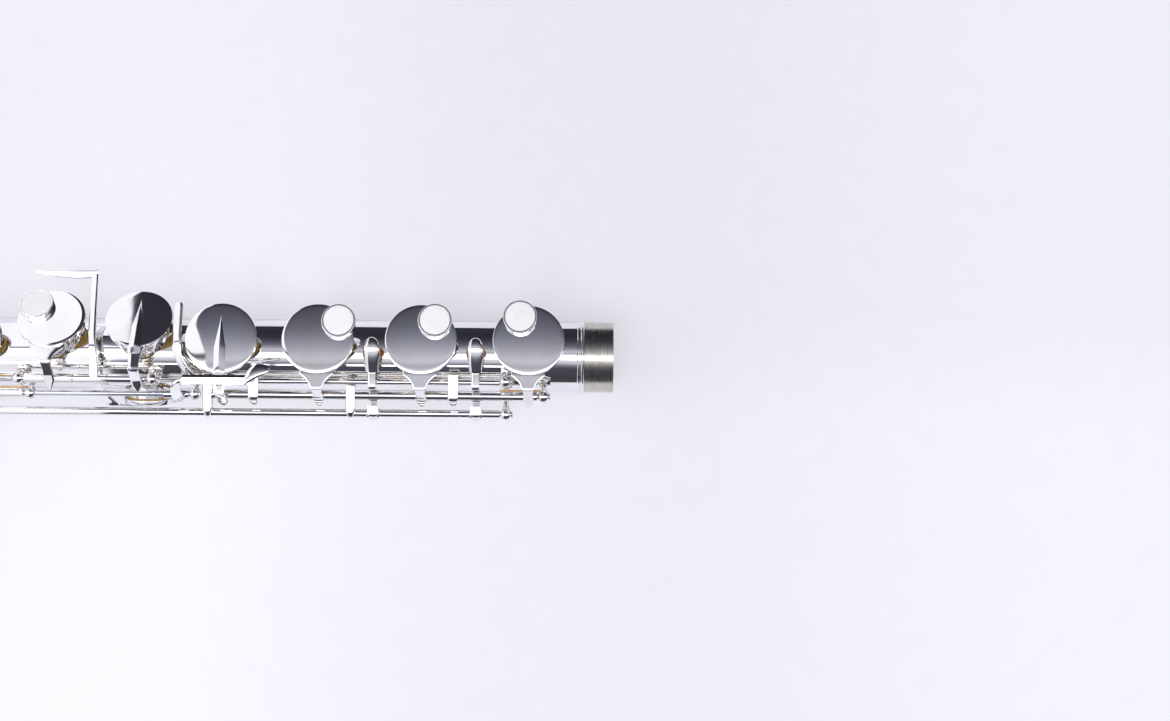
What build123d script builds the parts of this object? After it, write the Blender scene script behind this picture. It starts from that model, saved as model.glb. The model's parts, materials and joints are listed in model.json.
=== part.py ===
from build123d import *
import math
import os

# Alto concert flute: head joint and body joint, the foot joint taken off.
# X runs along the bore toward the foot end, +Z is the way the finger cups face, -Y is the player's side.
# The origin is on the bore axis at the foot tenon's shoulder.
# Angles round the bore are counted from +Z toward -Y.

# ---- driving dimensions, mm and degrees ----

# tubes and joints
bore_radius = 13.0
tube_wall = 0.5
body_length = 400.0
tenon_length = 11.0
tenon_radius = 13.3
sleeve_wall = 0.4
sleeve_depth = 12.0
foot_ring_length = 2.6
foot_ring_height = 0.8
barrel_depth = 46.0
barrel_lap = 13.0
barrel_wall = 1.2
bead_height = 0.45
bead_length = 3.0
solder_gap = 0.02
slide_gap = 0.04

# tone holes, pads and cups
rim_wall = 0.5
rim_height = 2.6
back_rim_height = 1.8
seat_gap = 0.12
pad_thickness = 2.4
cup_wall = 0.6
cup_bevel = 1.0
skirt_lift = 0.7
overhang = 1.9
open_angle = 8.0

# rod lines: radius from the bore axis and angle round it
rod_radius = 20.6
rod_angle = 63.3
g_rod_angle = 44.0
counter_radius = 17.8
counter_angle = 50.5
trill_radius = 24.7
trill_angle = 78.3
thumb_radius = 18.0
thumb_angle = 82.0
steel_radius = 1.0
counter_steel = 0.6
running_gap = 0.04
hinge_radius = 1.75
trill_hinge_radius = 1.45
counter_hinge_radius = 1.1
end_gap = 0.15

# posts and rib
ball_radius = 2.2
stem_radius = 1.15
foot_radius = 2.3
foot_height = 0.7
plate_width = 2.8
plate_margin = 1.0
rib_thickness = 0.9
rib_start = 33.0
rib_sweep = 33.0
rib_foot_end = -12.6
rib_clear_of_barrel = 11.0
spring_radius = 0.3
spring_length = 15.0

# arms, levers and touches
arm_thickness = 1.4
web_width = 13.0
waist_width = 3.6
ridge_width = 4.8
ridge_height = 1.3
arm_bulge = 1.6
arm_tail = 3.0
touch_radius = 6.4
touch_height = 2.7
touch_lip = 0.85
inlay_depth = 0.8
inlay_proud = 0.15

# stations along the bore of the tone holes
station_d = -20.7
station_e = -60.7
station_f = -99.0
station_f_sharp = -134.9
station_g_lower = -165.9
station_g_upper = -198.5
station_g_sharp = -165.5
station_a = -229.0
station_b_flat = -258.0
station_thumb = -272.0
station_c = -286.0
station_c_sharp = -312.0
station_trill_d = -body_length + 62.0
station_trill_d_sharp = -body_length + 38.0

# cup sizes
large_cup = 13.3
middle_cup = 12.45
b_flat_cup = 12.0
c_cup = 11.0
small_cup = 6.6
g_sharp_cup = 10.0
thumb_cup = 9.5

# angles of the holes round the bore
stack_angle = -4.5
g_hole_angle = -25.0
g_sharp_angle = 116.0
thumb_cup_angle = 130.0
trill_cup_angle = 128.0

# stations of the posts
post_foot = -15.2
plate_d_e = -48.8
double_e_f = -87.2
plate_f_f_sharp = -123.3
double_f_g = -140.6
post_b_flat = -145.4
post_g_foot = -160.7
post_a = -207.0
post_g_head = -210.4
post_a_b_flat = -245.4
post_b_flat_c = -273.6
post_c_head = -320.5
post_trill_foot = -29.2
post_trill_head = station_trill_d_sharp - 9.5
post_counter_foot = -29.2
post_thumb_foot = -233.5
post_thumb_head = -285.6
trill_touch_d_sharp = -40.4
trill_touch_d = -78.9

# ends of the keys that share a rod with no post between them
g_split_head = -189.9
g_split_foot = -177.1
thumb_split = -251.6

# trill touches
teardrop_width = 6.5
teardrop_length = 12.6
teardrop_lap = 2.2
teardrop_neck = -11.0
trill_stem_width = 3.2
trill_crest = (-4.5, 20.0)
trill_shoulder = (-12.4, 15.6)
trill_throat = (-17.4, 14.4)
trill_bend = (-14.7, 6.9)
trill_under = (-17.4, 6.1)
trill_collar = 0.5
trill_hub = 6.0

# G sharp lever
g_sharp_lever = -182.0
g_sharp_lever_width = 2.6
g_sharp_lever_radius = 20.4
g_sharp_reach = 28.8
g_sharp_drop = 13.6
g_sharp_lean = 3.6
g_sharp_plate = 22.0
g_sharp_plate_width = 3.4
g_sharp_limb_radius = 16.2
g_sharp_limb = 9.0
g_sharp_limb_lap = 1.5
g_sharp_limb_top = 3.0

# B flat side lever
side_bar_place = (-17.05, 23.9)
side_bar_width = 3.0
side_hook = -151.0
side_hook_width = 3.6
side_tube_end = -157.0
side_leaf = -121.3
side_leaf_long = 6.6
side_leaf_wide = 2.6
side_leaf_turn = 38.0

# split E strap
strap_station = -151.3
strap_width = 3.0
strap_tip = (14.4, 20.9)
strap_bend_radius = 18.3

# thumb touches
thumb_touch = -257.0
thumb_touch_b_flat = -243.0
thumb_touch_width = 10.0
thumb_touch_reach = 7.4
thumb_touch_rise = 18.6

# head joint
head_length = 300.0
embouchure_from_crown = 58.0
embouchure_long = 12.6
embouchure_wide = 10.6
lip_long = 62.0
lip_wide = 30.0
lip_rise = 5.0
lip_thickness = 1.0
riser_wall = 1.3
crown_length = 13.0
crown_rise = 1.2
crown_wall = 1.4
crown_boss = 3.6
cork_length = 18.0
cork_gap = 0.2
spigot_gap = 0.4
stopper_plate = 1.2
stopper_rod_radius = 2.0

tube_radius = bore_radius + tube_wall
rib_head_end = -body_length + barrel_lap + rib_clear_of_barrel
low, mid = Align.MIN, Align.CENTER


# ---- places and plain bars ----

def polar(radius, angle):
    """Y and Z of a point round the bore."""
    turn = math.radians(angle)
    return (-radius * math.sin(turn), radius * math.cos(turn))


def bar(start, end, radius, place=(0.0, 0.0)):
    """A round bar along X."""
    length = abs(end - start)
    solid = Cylinder(radius, length, align=(mid, mid, low))
    return Pos(min(start, end), place[0], place[1]) * Rot(0, 90, 0) * solid


def pipe(start, end, outer, inner, place=(0.0, 0.0)):
    """A round tube along X."""
    return bar(start, end, outer, place) - bar(start - 1, end + 1, inner, place)


def ring_at(profile_points):
    """A turned piece about the bore axis, from points of X and radius."""
    face = make_face(Polyline(*profile_points, close=True))
    return revolve(Plane.XZ * face, Axis.X, 360)


def seat(station, angle):
    """The frame of a hole: Z leaves the bore at the hole's angle."""
    return Pos(station, 0, 0) * Rot(angle, 0, 0)


def bent_strip(path, thickness, outline):
    """A bent plate: the path in Y and Z gives its bend, the outline in X and Y its edges."""
    box = outline.bounding_box()
    reach = max(abs(box.min.X), abs(box.max.X)) + 1
    height = 4 * tube_radius
    side = Plane.YZ * trace(path, thickness)
    plan = Pos(0, 0, -height) * outline
    return extrude(side, reach, both=True) & extrude(plan, 2 * height)


def largest(shape):
    """The main solid of a cut that may leave crumbs."""
    return max(shape.solids(), key=lambda solid: solid.volume)


# ---- the tone holes ----

def rim_top(lift):
    return tube_radius + lift


tone_holes = {
    "d": (station_d, stack_angle, large_cup, rim_height),
    "e": (station_e, stack_angle, large_cup, rim_height),
    "f": (station_f, stack_angle, large_cup, rim_height),
    "f_sharp": (station_f_sharp, stack_angle, large_cup, rim_height),
    "g_lower": (station_g_lower, g_hole_angle, middle_cup, rim_height),
    "g_upper": (station_g_upper, g_hole_angle, middle_cup, rim_height),
    "g_sharp": (station_g_sharp, g_sharp_angle, g_sharp_cup, rim_height),
    "a": (station_a, stack_angle, middle_cup, rim_height),
    "b_flat": (station_b_flat, stack_angle, b_flat_cup, rim_height),
    "thumb": (station_thumb, thumb_cup_angle, thumb_cup, back_rim_height),
    "c": (station_c, stack_angle, c_cup, rim_height),
    "c_sharp": (station_c_sharp, stack_angle, small_cup, rim_height),
    "trill_d": (station_trill_d, trill_cup_angle, small_cup, back_rim_height),
    "trill_d_sharp": (station_trill_d_sharp, trill_cup_angle, small_cup, back_rim_height),
}


def hole_radius(cup_radius):
    return cup_radius - overhang - rim_wall


def body_tube():
    """The body's tube with a raised rim drawn out round every tone hole."""
    tube = bar(-body_length, 0, tube_radius)
    bores = []
    for station, angle, cup_radius, lift in tone_holes.values():
        inner = hole_radius(cup_radius)
        outer = inner + rim_wall
        chimney = Cylinder(outer, rim_top(lift), align=(mid, mid, low))
        tube = tube + seat(station, angle) * chimney
        bores.append(seat(station, angle) * Cylinder(inner, rim_top(lift) + 5, align=(mid, mid, low)))
    return tube - [bar(-body_length - 1, 1, bore_radius)] - bores


def barrel():
    """The socket at the head end, with a bead at each end."""
    inner = tube_radius + slide_gap
    outer = inner + barrel_wall
    head_end = -body_length - barrel_depth
    foot_end = -body_length + barrel_lap
    top = outer + bead_height
    points = [(head_end, inner), (head_end, top), (head_end + bead_length, top)]
    points += [(head_end + bead_length, outer), (foot_end - bead_length, outer)]
    points += [(foot_end - bead_length, top), (foot_end, top), (foot_end, inner)]
    return ring_at(points)


def foot_ring():
    """The collar round the tube where the tenon begins."""
    inner = tube_radius + solder_gap
    outer = inner + foot_ring_height
    bevel = foot_ring_height / 2
    points = [(-foot_ring_length, inner), (-foot_ring_length, outer - bevel)]
    points += [(-foot_ring_length + bevel, outer), (-bevel, outer), (0, outer - bevel), (0, inner)]
    return ring_at(points)


def foot_tenon():
    """The sleeve that lines the tube's end and stands out of it, thicker there, to take the foot joint."""
    inner = bore_radius - sleeve_wall
    lining = pipe(-sleeve_depth, 0, bore_radius - solder_gap, inner)
    return lining + pipe(0, tenon_length, tenon_radius, inner)


def rib():
    """The long strap that carries the posts, scalloped round the tone holes."""
    inner = tube_radius + solder_gap
    outer = inner + rib_thickness
    points = [(rib_head_end, inner), (rib_foot_end, inner), (rib_foot_end, outer), (rib_head_end, outer)]
    face = make_face(Polyline(*points, close=True))
    strap = revolve(Plane.XZ * face, Axis.X, rib_sweep)
    strap = Rot(rib_start, 0, 0) * strap
    cuts = []
    for station, angle, cup_radius, lift in tone_holes.values():
        clear = cup_radius - overhang + solder_gap * 10
        cuts.append(seat(station, angle) * Cylinder(clear, rim_top(lift) + 2, align=(mid, mid, low)))
    return strap - cuts


# ---- posts and steels ----

def ball_post(station, line_radius, line_angle, steel=steel_radius):
    """A turned post on a round foot, with a ball that the steel passes through."""
    on_rib = rib_start < line_angle < rib_start + rib_sweep
    ground = tube_radius + solder_gap
    if on_rib:
        ground = ground + rib_thickness + solder_gap
    foot = Cylinder(foot_radius, foot_height + 1, align=(mid, mid, low))
    stem = Cylinder(stem_radius, line_radius - ground + 1, align=(mid, mid, low))
    post = Pos(0, 0, ground - 1) * foot + Pos(0, 0, ground - 1) * stem
    post = post + Pos(0, 0, line_radius) * Sphere(ball_radius)
    post = seat(station, line_angle) * post
    place = polar(line_radius, line_angle)
    hole = bar(station - 5, station + 5, steel + running_gap, place)
    return largest(post - bar(station - 9, station + 9, ground) - hole)


def plate_post(station, lines, foot_angle):
    """A flat post that carries two rod lines; each line gives its radius, angle and bore."""
    rings = []
    holes = []
    for line_radius, line_angle, bore in lines:
        y, z = polar(line_radius, line_angle)
        rings.append(Pos(y, z) * Circle(bore + plate_margin))
        holes.append(bar(station - 5, station + 5, bore, (y, z)))
    hull = make_hull([ring.edge() for ring in rings])
    foot_y, foot_z = polar(tube_radius, foot_angle)
    mid_radius = (lines[0][0] + lines[1][0]) / 2
    mid_angle = (lines[0][1] + lines[1][1]) / 2
    top_y, top_z = polar(mid_radius, mid_angle)
    stem = trace(Line((foot_y, foot_z), (top_y, top_z)), plate_width)
    plate = extrude(Plane.YZ * (hull + stem), plate_width / 2, both=True)
    plate = Pos(station, 0, 0) * plate
    ground = tube_radius + 2 * solder_gap + rib_thickness
    if foot_angle > rib_start + rib_sweep:
        ground = tube_radius + solder_gap
    return largest(plate - bar(station - 9, station + 9, ground) - holes)


def ball_posts():
    main = (rod_radius, rod_angle)
    g_line = (rod_radius, g_rod_angle)
    thumb = (thumb_radius, thumb_angle)
    trill = (trill_radius, trill_angle)
    posts = [ball_post(station, *main) for station in (post_foot, post_b_flat, post_a)]
    posts += [ball_post(station, *main) for station in (post_a_b_flat, post_b_flat_c, post_c_head)]
    posts += [ball_post(station, *g_line) for station in (post_g_foot, post_g_head)]
    posts += [ball_post(station, *thumb) for station in (post_thumb_foot, post_thumb_head)]
    posts += [ball_post(station, *trill) for station in (post_trill_foot, post_trill_head)]
    posts.append(ball_post(post_counter_foot, counter_radius, counter_angle, counter_steel))
    return Compound(children=[post for post in posts])


def plate_posts():
    main = (rod_radius, rod_angle, steel_radius + running_gap)
    counter = (counter_radius, counter_angle, counter_hinge_radius + running_gap)
    plates = [plate_post(station, (main, counter), 57.0) for station in (plate_d_e, plate_f_f_sharp)]
    return Compound(children=plates)


def double_posts():
    main = (rod_radius, rod_angle, steel_radius + running_gap)
    trill_tube = (trill_radius, trill_angle, trill_hinge_radius + running_gap)
    plates = [plate_post(station, (main, trill_tube), 74.0) for station in (double_e_f, double_f_g)]
    return Compound(children=plates)


def needle_springs():
    """Straight needle springs that lie between the rib and the main rod line."""
    place = polar(rod_radius - hinge_radius - 3 * spring_radius, rod_angle - 1)
    starts = (post_foot, post_a, post_b_flat_c)
    springs = []
    for start in starts:
        first = start - stem_radius - solder_gap
        springs.append(bar(first - spring_length, first, spring_radius, place))
    return Compound(children=springs)


# ---- cups, pads, touches and arms, in the frame of their own hole, closed ----

def pad_floor(lift):
    return rim_top(lift) + seat_gap


def cup_top(lift):
    return pad_floor(lift) + pad_thickness + cup_wall


def cup(radius, lift):
    """A shallow pressed cup with a bevelled edge, open underneath for its pad."""
    top = cup_top(lift)
    skirt = pad_floor(lift) + skirt_lift
    inner = radius - cup_wall
    points = [(0, top), (radius - cup_bevel, top), (radius, top - cup_bevel), (radius, skirt)]
    points += [(inner, skirt), (inner, top - cup_wall), (0, top - cup_wall)]
    face = make_face(Polyline(*points, close=True))
    return revolve(Plane.XZ * face, Axis.Z, 360)


def pad(radius, lift):
    disc = Cylinder(radius - cup_wall - solder_gap, pad_thickness, align=(mid, mid, low))
    return Pos(0, 0, pad_floor(lift)) * disc


def touch_holder(lift, along, across):
    """The raised round holder that a fingertip presses, recessed for its inlay."""
    top = cup_top(lift)
    solid = Cylinder(touch_radius, touch_height + cup_wall, align=(mid, mid, low))
    recess = Cylinder(touch_radius - touch_lip, inlay_depth + 1, align=(mid, mid, low))
    holder = Pos(0, 0, top - cup_wall) * solid - Pos(0, 0, top + touch_height - inlay_depth) * recess
    return Pos(along, across, 0) * holder


def touch_inlay(lift, along, across):
    height = inlay_depth + inlay_proud
    disc = Cylinder(touch_radius - touch_lip - solder_gap, height, align=(mid, mid, low))
    return Pos(along, across, cup_top(lift) + touch_height - inlay_depth) * disc


def web_outline(half_top, half_waist, top_y, waist_y, tip_y):
    """The plan of an arm: wide at the cup, drawn in to a waist over the rod, then pointed."""
    bend = (half_top * 0.35 + half_waist * 0.65)
    bend_y = top_y + (waist_y - top_y) * 0.45
    right = ThreePointArc((half_top, top_y), (bend, bend_y), (half_waist, waist_y))
    point = Polyline((half_waist, waist_y), (0, tip_y), (-half_waist, waist_y))
    left = ThreePointArc((-half_waist, waist_y), (-bend, bend_y), (-half_top, top_y))
    return make_face([right, point, left, Line((-half_top, top_y), (half_top, top_y))])


def arm(radius, lift, line_radius, line_angle, ridged, shift):
    """The arm from a cup to its rod, in the hole's frame with the rod on the -Y side."""
    rod_y, rod_z = polar(line_radius, line_angle)
    top = cup_top(lift)
    start_y = -radius * 0.72
    start_z = top - cup_wall
    run = math.hypot(rod_y - start_y, rod_z - start_z)
    normal_y = (rod_z - start_z) / run
    normal_z = -(rod_y - start_y) / run
    hub_y = rod_y + normal_y * hinge_radius * 0.6
    hub_z = rod_z + normal_z * hinge_radius * 0.6
    middle = ((start_y + hub_y) / 2 + normal_y * arm_bulge, (start_z + hub_z) / 2 + normal_z * arm_bulge)
    curve = ThreePointArc((start_y, start_z), middle, (hub_y, hub_z))
    leave = curve % 1
    tip = (hub_y + leave.X * arm_tail, hub_z + leave.Y * arm_tail)
    path = curve + Line((hub_y, hub_z), tip)
    half_top = web_width / 2
    if ridged:
        half_top = ridge_width / 2
    half_top = min(half_top, radius * 0.6)
    half_waist = min(waist_width / 2, half_top)
    outline = web_outline(half_top, half_waist, start_y, hub_y, tip[0])
    solid = bent_strip(path, arm_thickness, Pos(shift, 0, 0) * outline)
    if ridged:
        solid = solid + ridge(radius, top, shift)
    return solid - Cylinder(radius - cup_wall, top - cup_wall, align=(mid, mid, low))


def ridge(radius, top, shift):
    """The pointed ridge that runs over a cup to its centre."""
    def section(half, height):
        return make_face(Polyline((-half, 0), (half, 0), (0, height), close=True))
    sink = cup_bevel
    outer = Plane((shift, -radius - 0.6, top - sink), x_dir=(1, 0, 0), z_dir=(0, -1, 0))
    inner = Plane((shift, 0.8, top - 0.2), x_dir=(1, 0, 0), z_dir=(0, -1, 0))
    return loft([outer * section(ridge_width / 2, ridge_height + sink), inner * section(0.3, 0.5)])


def finish(shape, station, angle):
    """Moves a piece from the hole's frame to the flute's."""
    return seat(station, angle) * shape


def swing(shape, line, degrees):
    """Turns a piece about its rod."""
    y, z = polar(*line)
    return shape.rotate(Axis((0, y, z), (1, 0, 0)), degrees)


def stack_key(hole, line, span, ridged=False, touch=None, shift=0.0, rest=open_angle):
    """A key of the stacks: cup, arm, hinge tube and touch holder, with its pad and inlay."""
    station, angle, radius, lift = tone_holes[hole]
    line_radius, line_angle = line
    turn = line_angle - angle
    side = 1 if turn > 0 else -1
    body = cup(radius, lift)
    limb = arm(radius, lift, line_radius, abs(turn), ridged, shift)
    if side < 0:
        limb = mirror(limb, Plane.XZ)
    body = body + limb
    inlay = None
    if touch:
        body = body + touch_holder(lift, *touch)
        inlay = finish(touch_inlay(lift, *touch), station, angle)
    place = polar(*line)
    outer = trill_hinge_radius if line == trill_line else hinge_radius
    body = finish(body, station, angle) + bar(span[0], span[1], outer, place)
    cut = steel_radius + running_gap
    body = body - bar(span[0] - 1, span[1] + 1, cut, place)
    disc = finish(pad(radius, lift), station, angle)
    pieces = [swing(piece, line, side * rest) for piece in (body, disc)]
    if inlay:
        pieces.append(swing(inlay, line, side * rest))
    return pieces


main_line = (rod_radius, rod_angle)
g_line = (rod_radius, g_rod_angle)
trill_line = (trill_radius, trill_angle)
thumb_line = (thumb_radius, thumb_angle)
counter_line = (counter_radius, counter_angle)
half_gap = end_gap / 2
half_plate = plate_width / 2 + end_gap
half_ball = ball_radius + end_gap


# ---- levers ----

def g_sharp_key():
    """The G sharp key: a long lever over the tube to the far side, and an arm down to its closed cup."""
    station, angle, radius, lift = tone_holes["g_sharp"]
    y, z = polar(*g_line)
    half = g_sharp_lever_width / 2
    far = g_sharp_lever - g_sharp_lean
    plate_head = far - g_sharp_plate
    points = [(g_sharp_lever + half, y), (far + half, g_sharp_reach), (plate_head, g_sharp_reach)]
    inner_edge = g_sharp_reach - g_sharp_plate_width
    points += [(plate_head, inner_edge), (far - half, inner_edge)]
    points.append((g_sharp_lever - half, y))
    over = [(y, z + arm_thickness), polar(g_sharp_lever_radius, -stack_angle * 5)]
    over += [polar(g_sharp_lever_radius, g_hole_angle), (g_sharp_reach + 1, g_sharp_drop)]
    plan = make_face(Polyline(*points, close=True))
    lever = bent_strip(FilletPolyline(*over, radius=4), arm_thickness, plan)
    down = [polar(rod_radius - 1, g_rod_angle), polar(g_sharp_limb_radius, rod_angle)]
    down += [polar(g_sharp_limb_radius, thumb_angle), polar(cup_top(lift) - 1, angle + 12)]
    limb_plan = Rectangle(g_sharp_limb, 80, align=(Align.MAX, mid))
    limb_plan = Pos(station - radius + g_sharp_limb_lap, 0) * limb_plan
    limb = bent_strip(FilletPolyline(*down, radius=3), arm_thickness, limb_plan)
    limb = limb - Pos(g_split_foot - half_gap, 0, g_sharp_limb_top) * Box(20, 60, 40, align=(low, mid, low))
    shell = finish(Cylinder(radius - cup_wall, 40, align=(mid, mid, low)), station, angle)
    body = finish(cup(radius, lift), station, angle) + (limb - shell) + lever
    body = body + bar(g_split_head + half_gap, g_split_foot - half_gap, hinge_radius, (y, z))
    body = body - bar(g_split_head - 1, g_split_foot + 1, steel_radius + running_gap, (y, z))
    return [largest(body), finish(pad(radius, lift), station, angle)]


def trill_touch(station):
    """A teardrop touch on a stem that passes under the main rod to the trill rod."""
    y, z = polar(*trill_line)
    far_end = (1, trill_crest[1] + 0.3)
    points = [(y, z), trill_under, trill_bend, trill_throat, trill_shoulder, trill_crest, far_end]
    path = FilletPolyline(*points, radius=1.4)
    stem_length = abs(y) + 3 + teardrop_neck
    stem = Pos(0, teardrop_neck) * Rectangle(trill_stem_width, stem_length, align=(mid, Align.MAX))
    middle = teardrop_neck - teardrop_lap + teardrop_length / 2
    bulb = Pos(0, middle) * Ellipse(teardrop_width / 2, teardrop_length / 2)
    strap = bent_strip(path, arm_thickness, Pos(station, 0) * (stem + bulb))
    half = trill_stem_width / 2 + trill_collar
    collar = bar(station - half, station + half, trill_hinge_radius + trill_collar, (y, z))
    return largest(strap + collar)


def trill_key_d():
    """The D trill key: a long tube with the cup, and the touch's sleeve soldered to its foot end."""
    station, angle, radius, lift = tone_holes["trill_d"]
    seam = trill_touch_d - trill_hub
    pieces = stack_key("trill_d", trill_line, (station - small_cup, seam), rest=0.0)
    y, z = polar(*trill_line)
    foot_end = trill_touch_d_sharp - trill_hub - end_gap
    sleeve = bar(seam, foot_end, trill_hinge_radius, (y, z))
    bore = bar(seam - 1, foot_end + 1, steel_radius + running_gap, (y, z))
    return [*pieces, (trill_touch(trill_touch_d) + sleeve) - bore]


def trill_key_d_sharp():
    """The D sharp trill key: its touch and cup are pinned to the long rod inside the D trill tube."""
    station = station_trill_d_sharp
    y, z = polar(*trill_line)
    cup_side = stack_key("trill_d_sharp", trill_line, (station - small_cup, station + small_cup), rest=0.0)
    stub = bar(post_trill_foot - half_ball, trill_touch_d_sharp - trill_hub, trill_hinge_radius, (y, z))
    bore = bar(trill_touch_d_sharp - 9, 0, steel_radius + running_gap, (y, z))
    touch = (trill_touch(trill_touch_d_sharp) + stub) - bore
    rod = bar(post_trill_head, post_trill_foot, steel_radius, (y, z))
    return [cup_side[0], cup_side[1], touch, rod]


def b_flat_lever():
    """The side lever: leaf touch, flat bar over the F sharp cup, and a hook down to the main rod."""
    y, z = polar(*main_line)
    bar_y, bar_z = side_bar_place
    rise = ThreePointArc((y - 1, z), (bar_y - 4, (z + bar_z) / 2), (bar_y + 0.5, bar_z))
    hook = bent_strip(rise, arm_thickness, Pos(side_hook, bar_y) * Rectangle(side_hook_width, 20))
    head = side_hook - side_hook_width / 2
    flat = Box(side_leaf - 4 - head, side_bar_width, arm_thickness, align=(low, mid, mid))
    leaf = Rot(0, 0, side_leaf_turn) * extrude(Ellipse(side_leaf_long, side_leaf_wide), arm_thickness)
    leaf = Pos(side_leaf, bar_y + side_bar_width, bar_z - arm_thickness / 2) * leaf
    tube = bar(post_b_flat - half_ball, side_tube_end, hinge_radius, (y, z))
    solid = hook + Pos(head, bar_y, bar_z) * flat + leaf + tube
    return largest(solid - bar(side_tube_end - 1, post_b_flat + 5, steel_radius + solder_gap, (y, z)))


def split_e_lever():
    """The split E lever: a thin tube along the stack with a strap beside the lower G cup."""
    y, z = polar(*counter_line)
    head_end = double_f_g - 3.4
    tube = bar(post_counter_foot - half_ball, head_end, counter_hinge_radius, (y, z))
    bends = [polar(strap_bend_radius, 30), polar(strap_bend_radius, 5)]
    path = FilletPolyline((y, z), *bends, strap_tip, radius=5)
    half = strap_width / 2
    reach = strap_tip[0] - 0.4
    points = [(head_end + 0.4, y - 0.6), (head_end + 0.4, y + 3.8), (strap_station + half, y + 9)]
    points += [(strap_station + half, reach), (strap_station - half, reach)]
    points += [(strap_station - half, y + 7.6), (head_end - 4, y - 0.6)]
    strap = bent_strip(path, arm_thickness, make_face(Polyline(*points, close=True)))
    return largest(tube + strap)


def thumb_plate(station, width):
    """A thumb touch: a bent plate from the thumb rod round the back of the tube."""
    y, z = polar(thumb_radius, thumb_cup_angle - thumb_angle)
    crest = (-1, thumb_touch_rise)
    path = ThreePointArc((y - 1.2, z), (-9, thumb_touch_rise - 1), crest)
    path = path + Line(crest, (8, thumb_touch_rise - 0.4))
    neck = Pos(0, y / 2 - 3) * Rectangle(4, abs(y) + 2)
    plate = Pos(0, 0.6) * Ellipse(width / 2, thumb_touch_reach)
    solid = bent_strip(path, arm_thickness, neck + plate)
    return finish(mirror(solid, Plane.XZ), station, thumb_cup_angle)


def thumb_key():
    """The thumb key: its cup on the back of the tube and its own touch."""
    y, z = polar(*thumb_line)
    span = (post_thumb_head + half_ball, thumb_split - half_gap)
    pieces = stack_key("thumb", thumb_line, span)
    touch = swing(thumb_plate(thumb_touch, thumb_touch_width), thumb_line, -open_angle)
    bore = bar(post_thumb_head, post_thumb_foot, steel_radius + running_gap, (y, z))
    return [pieces[0] + (touch - bore), pieces[1]]


def thumb_b_flat_lever():
    """The second thumb touch, which works the B flat cup."""
    y, z = polar(*thumb_line)
    touch = swing(thumb_plate(thumb_touch_b_flat, thumb_touch_width - 1), thumb_line, -open_angle)
    solid = touch + bar(thumb_split + half_gap, post_thumb_foot - half_ball, hinge_radius, (y, z))
    return largest(solid - bar(post_thumb_head, post_thumb_foot, steel_radius + running_gap, (y, z)))


# ---- head joint ----

head_end = -body_length - solder_gap * 50
crown_seat = head_end - head_length
embouchure_x = crown_seat + embouchure_from_crown


def embouchure_tool(grow, height):
    hole = SlotOverall(embouchure_long + 2 * grow, embouchure_wide + 2 * grow, rotation=90)
    return Pos(embouchure_x, 0, 0) * extrude(hole, height)


def head_tube():
    tube = pipe(crown_seat, head_end, tube_radius, bore_radius)
    return tube - embouchure_tool(0, 30)


def lip_plate():
    """The oval plate under the lip, swelling from the tube toward the embouchure hole."""
    half = lip_long / 2 + lip_thickness
    base = tube_radius + solder_gap
    top = base + lip_rise
    outer = ThreePointArc((-half, base + lip_thickness), (0, top), (half, base + lip_thickness))
    inner = ThreePointArc((half, base), (0, top - lip_thickness), (-half, base))
    crest = base + lip_thickness
    ends = [Line((-half, base), (-half, crest)), Line((half, crest), (half, base))]
    shell = revolve(Plane.XZ * make_face([outer, inner] + ends), Axis.X, 360)
    oval = extrude(Ellipse(lip_long / 2, lip_wide / 2), 30)
    plate = Pos(embouchure_x, 0, 0) * (shell & oval)
    return plate - embouchure_tool(0, 30)


def riser():
    """The short wall between the tube and the lip plate."""
    half = lip_long / 2 + lip_thickness
    base = tube_radius
    roof = tube_radius + lip_rise - lip_thickness
    dome = [ThreePointArc((-half, base), (0, roof), (half, base))]
    dome.append(Polyline((half, base), (half, 0), (-half, 0), (-half, base)))
    under = Pos(embouchure_x, 0, 0) * revolve(Plane.XZ * make_face(dome), Axis.X, 360)
    wall = embouchure_tool(riser_wall, 30) - embouchure_tool(0, 30)
    return (wall & under) - bar(crown_seat, head_end, tube_radius + solder_gap)


def stopper_cork():
    face = embouchure_x - bore_radius
    cork = bar(face - cork_length, face, bore_radius - cork_gap)
    return cork - bar(face - cork_length - 1, face + 1, stopper_rod_radius + solder_gap)


def stopper_screw():
    """The stopper's two plates on its rod, which runs up into the crown."""
    face = embouchure_x - bore_radius
    plate = bar(face, face + stopper_plate, bore_radius - 2 * cork_gap)
    back = bar(face - cork_length - stopper_plate, face - cork_length, bore_radius - 3)
    rod = bar(crown_seat - 2, face + stopper_plate / 2, stopper_rod_radius)
    return plate + back + rod


def crown():
    """The turned end cap, with a spigot that enters the tube."""
    outer = tube_radius + crown_rise
    inner = bore_radius - spigot_gap
    back = crown_seat - crown_length
    points = [(crown_seat - end_gap, 0), (crown_seat - end_gap, outer), (crown_seat - 3, outer)]
    points += [(crown_seat - 4, outer - 0.8), (crown_seat - 9, outer - 0.4)]
    points += [(back + 1.5, outer - 3), (back, 0)]
    solid = ring_at(points) + bar(crown_seat - 1, crown_seat + 5, inner)
    hollow = pipe(back + 2 * crown_wall, crown_seat + 6, inner - crown_wall, crown_boss)
    return solid - hollow - bar(crown_seat - 4, crown_seat + 6, stopper_rod_radius + running_gap)


# ---- build and write ----

def write(name, shape):
    shape.label = name
    export_step(shape, f"parts/{name}.step")


os.makedirs("parts", exist_ok=True)

write("body_tube", body_tube())
write("barrel", barrel())
write("foot_ring", foot_ring())
write("foot_tenon", foot_tenon())
write("rib", rib())
write("ball_posts", ball_posts())
write("plate_posts", plate_posts())
write("double_posts", double_posts())
write("needle_springs", needle_springs())

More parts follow.
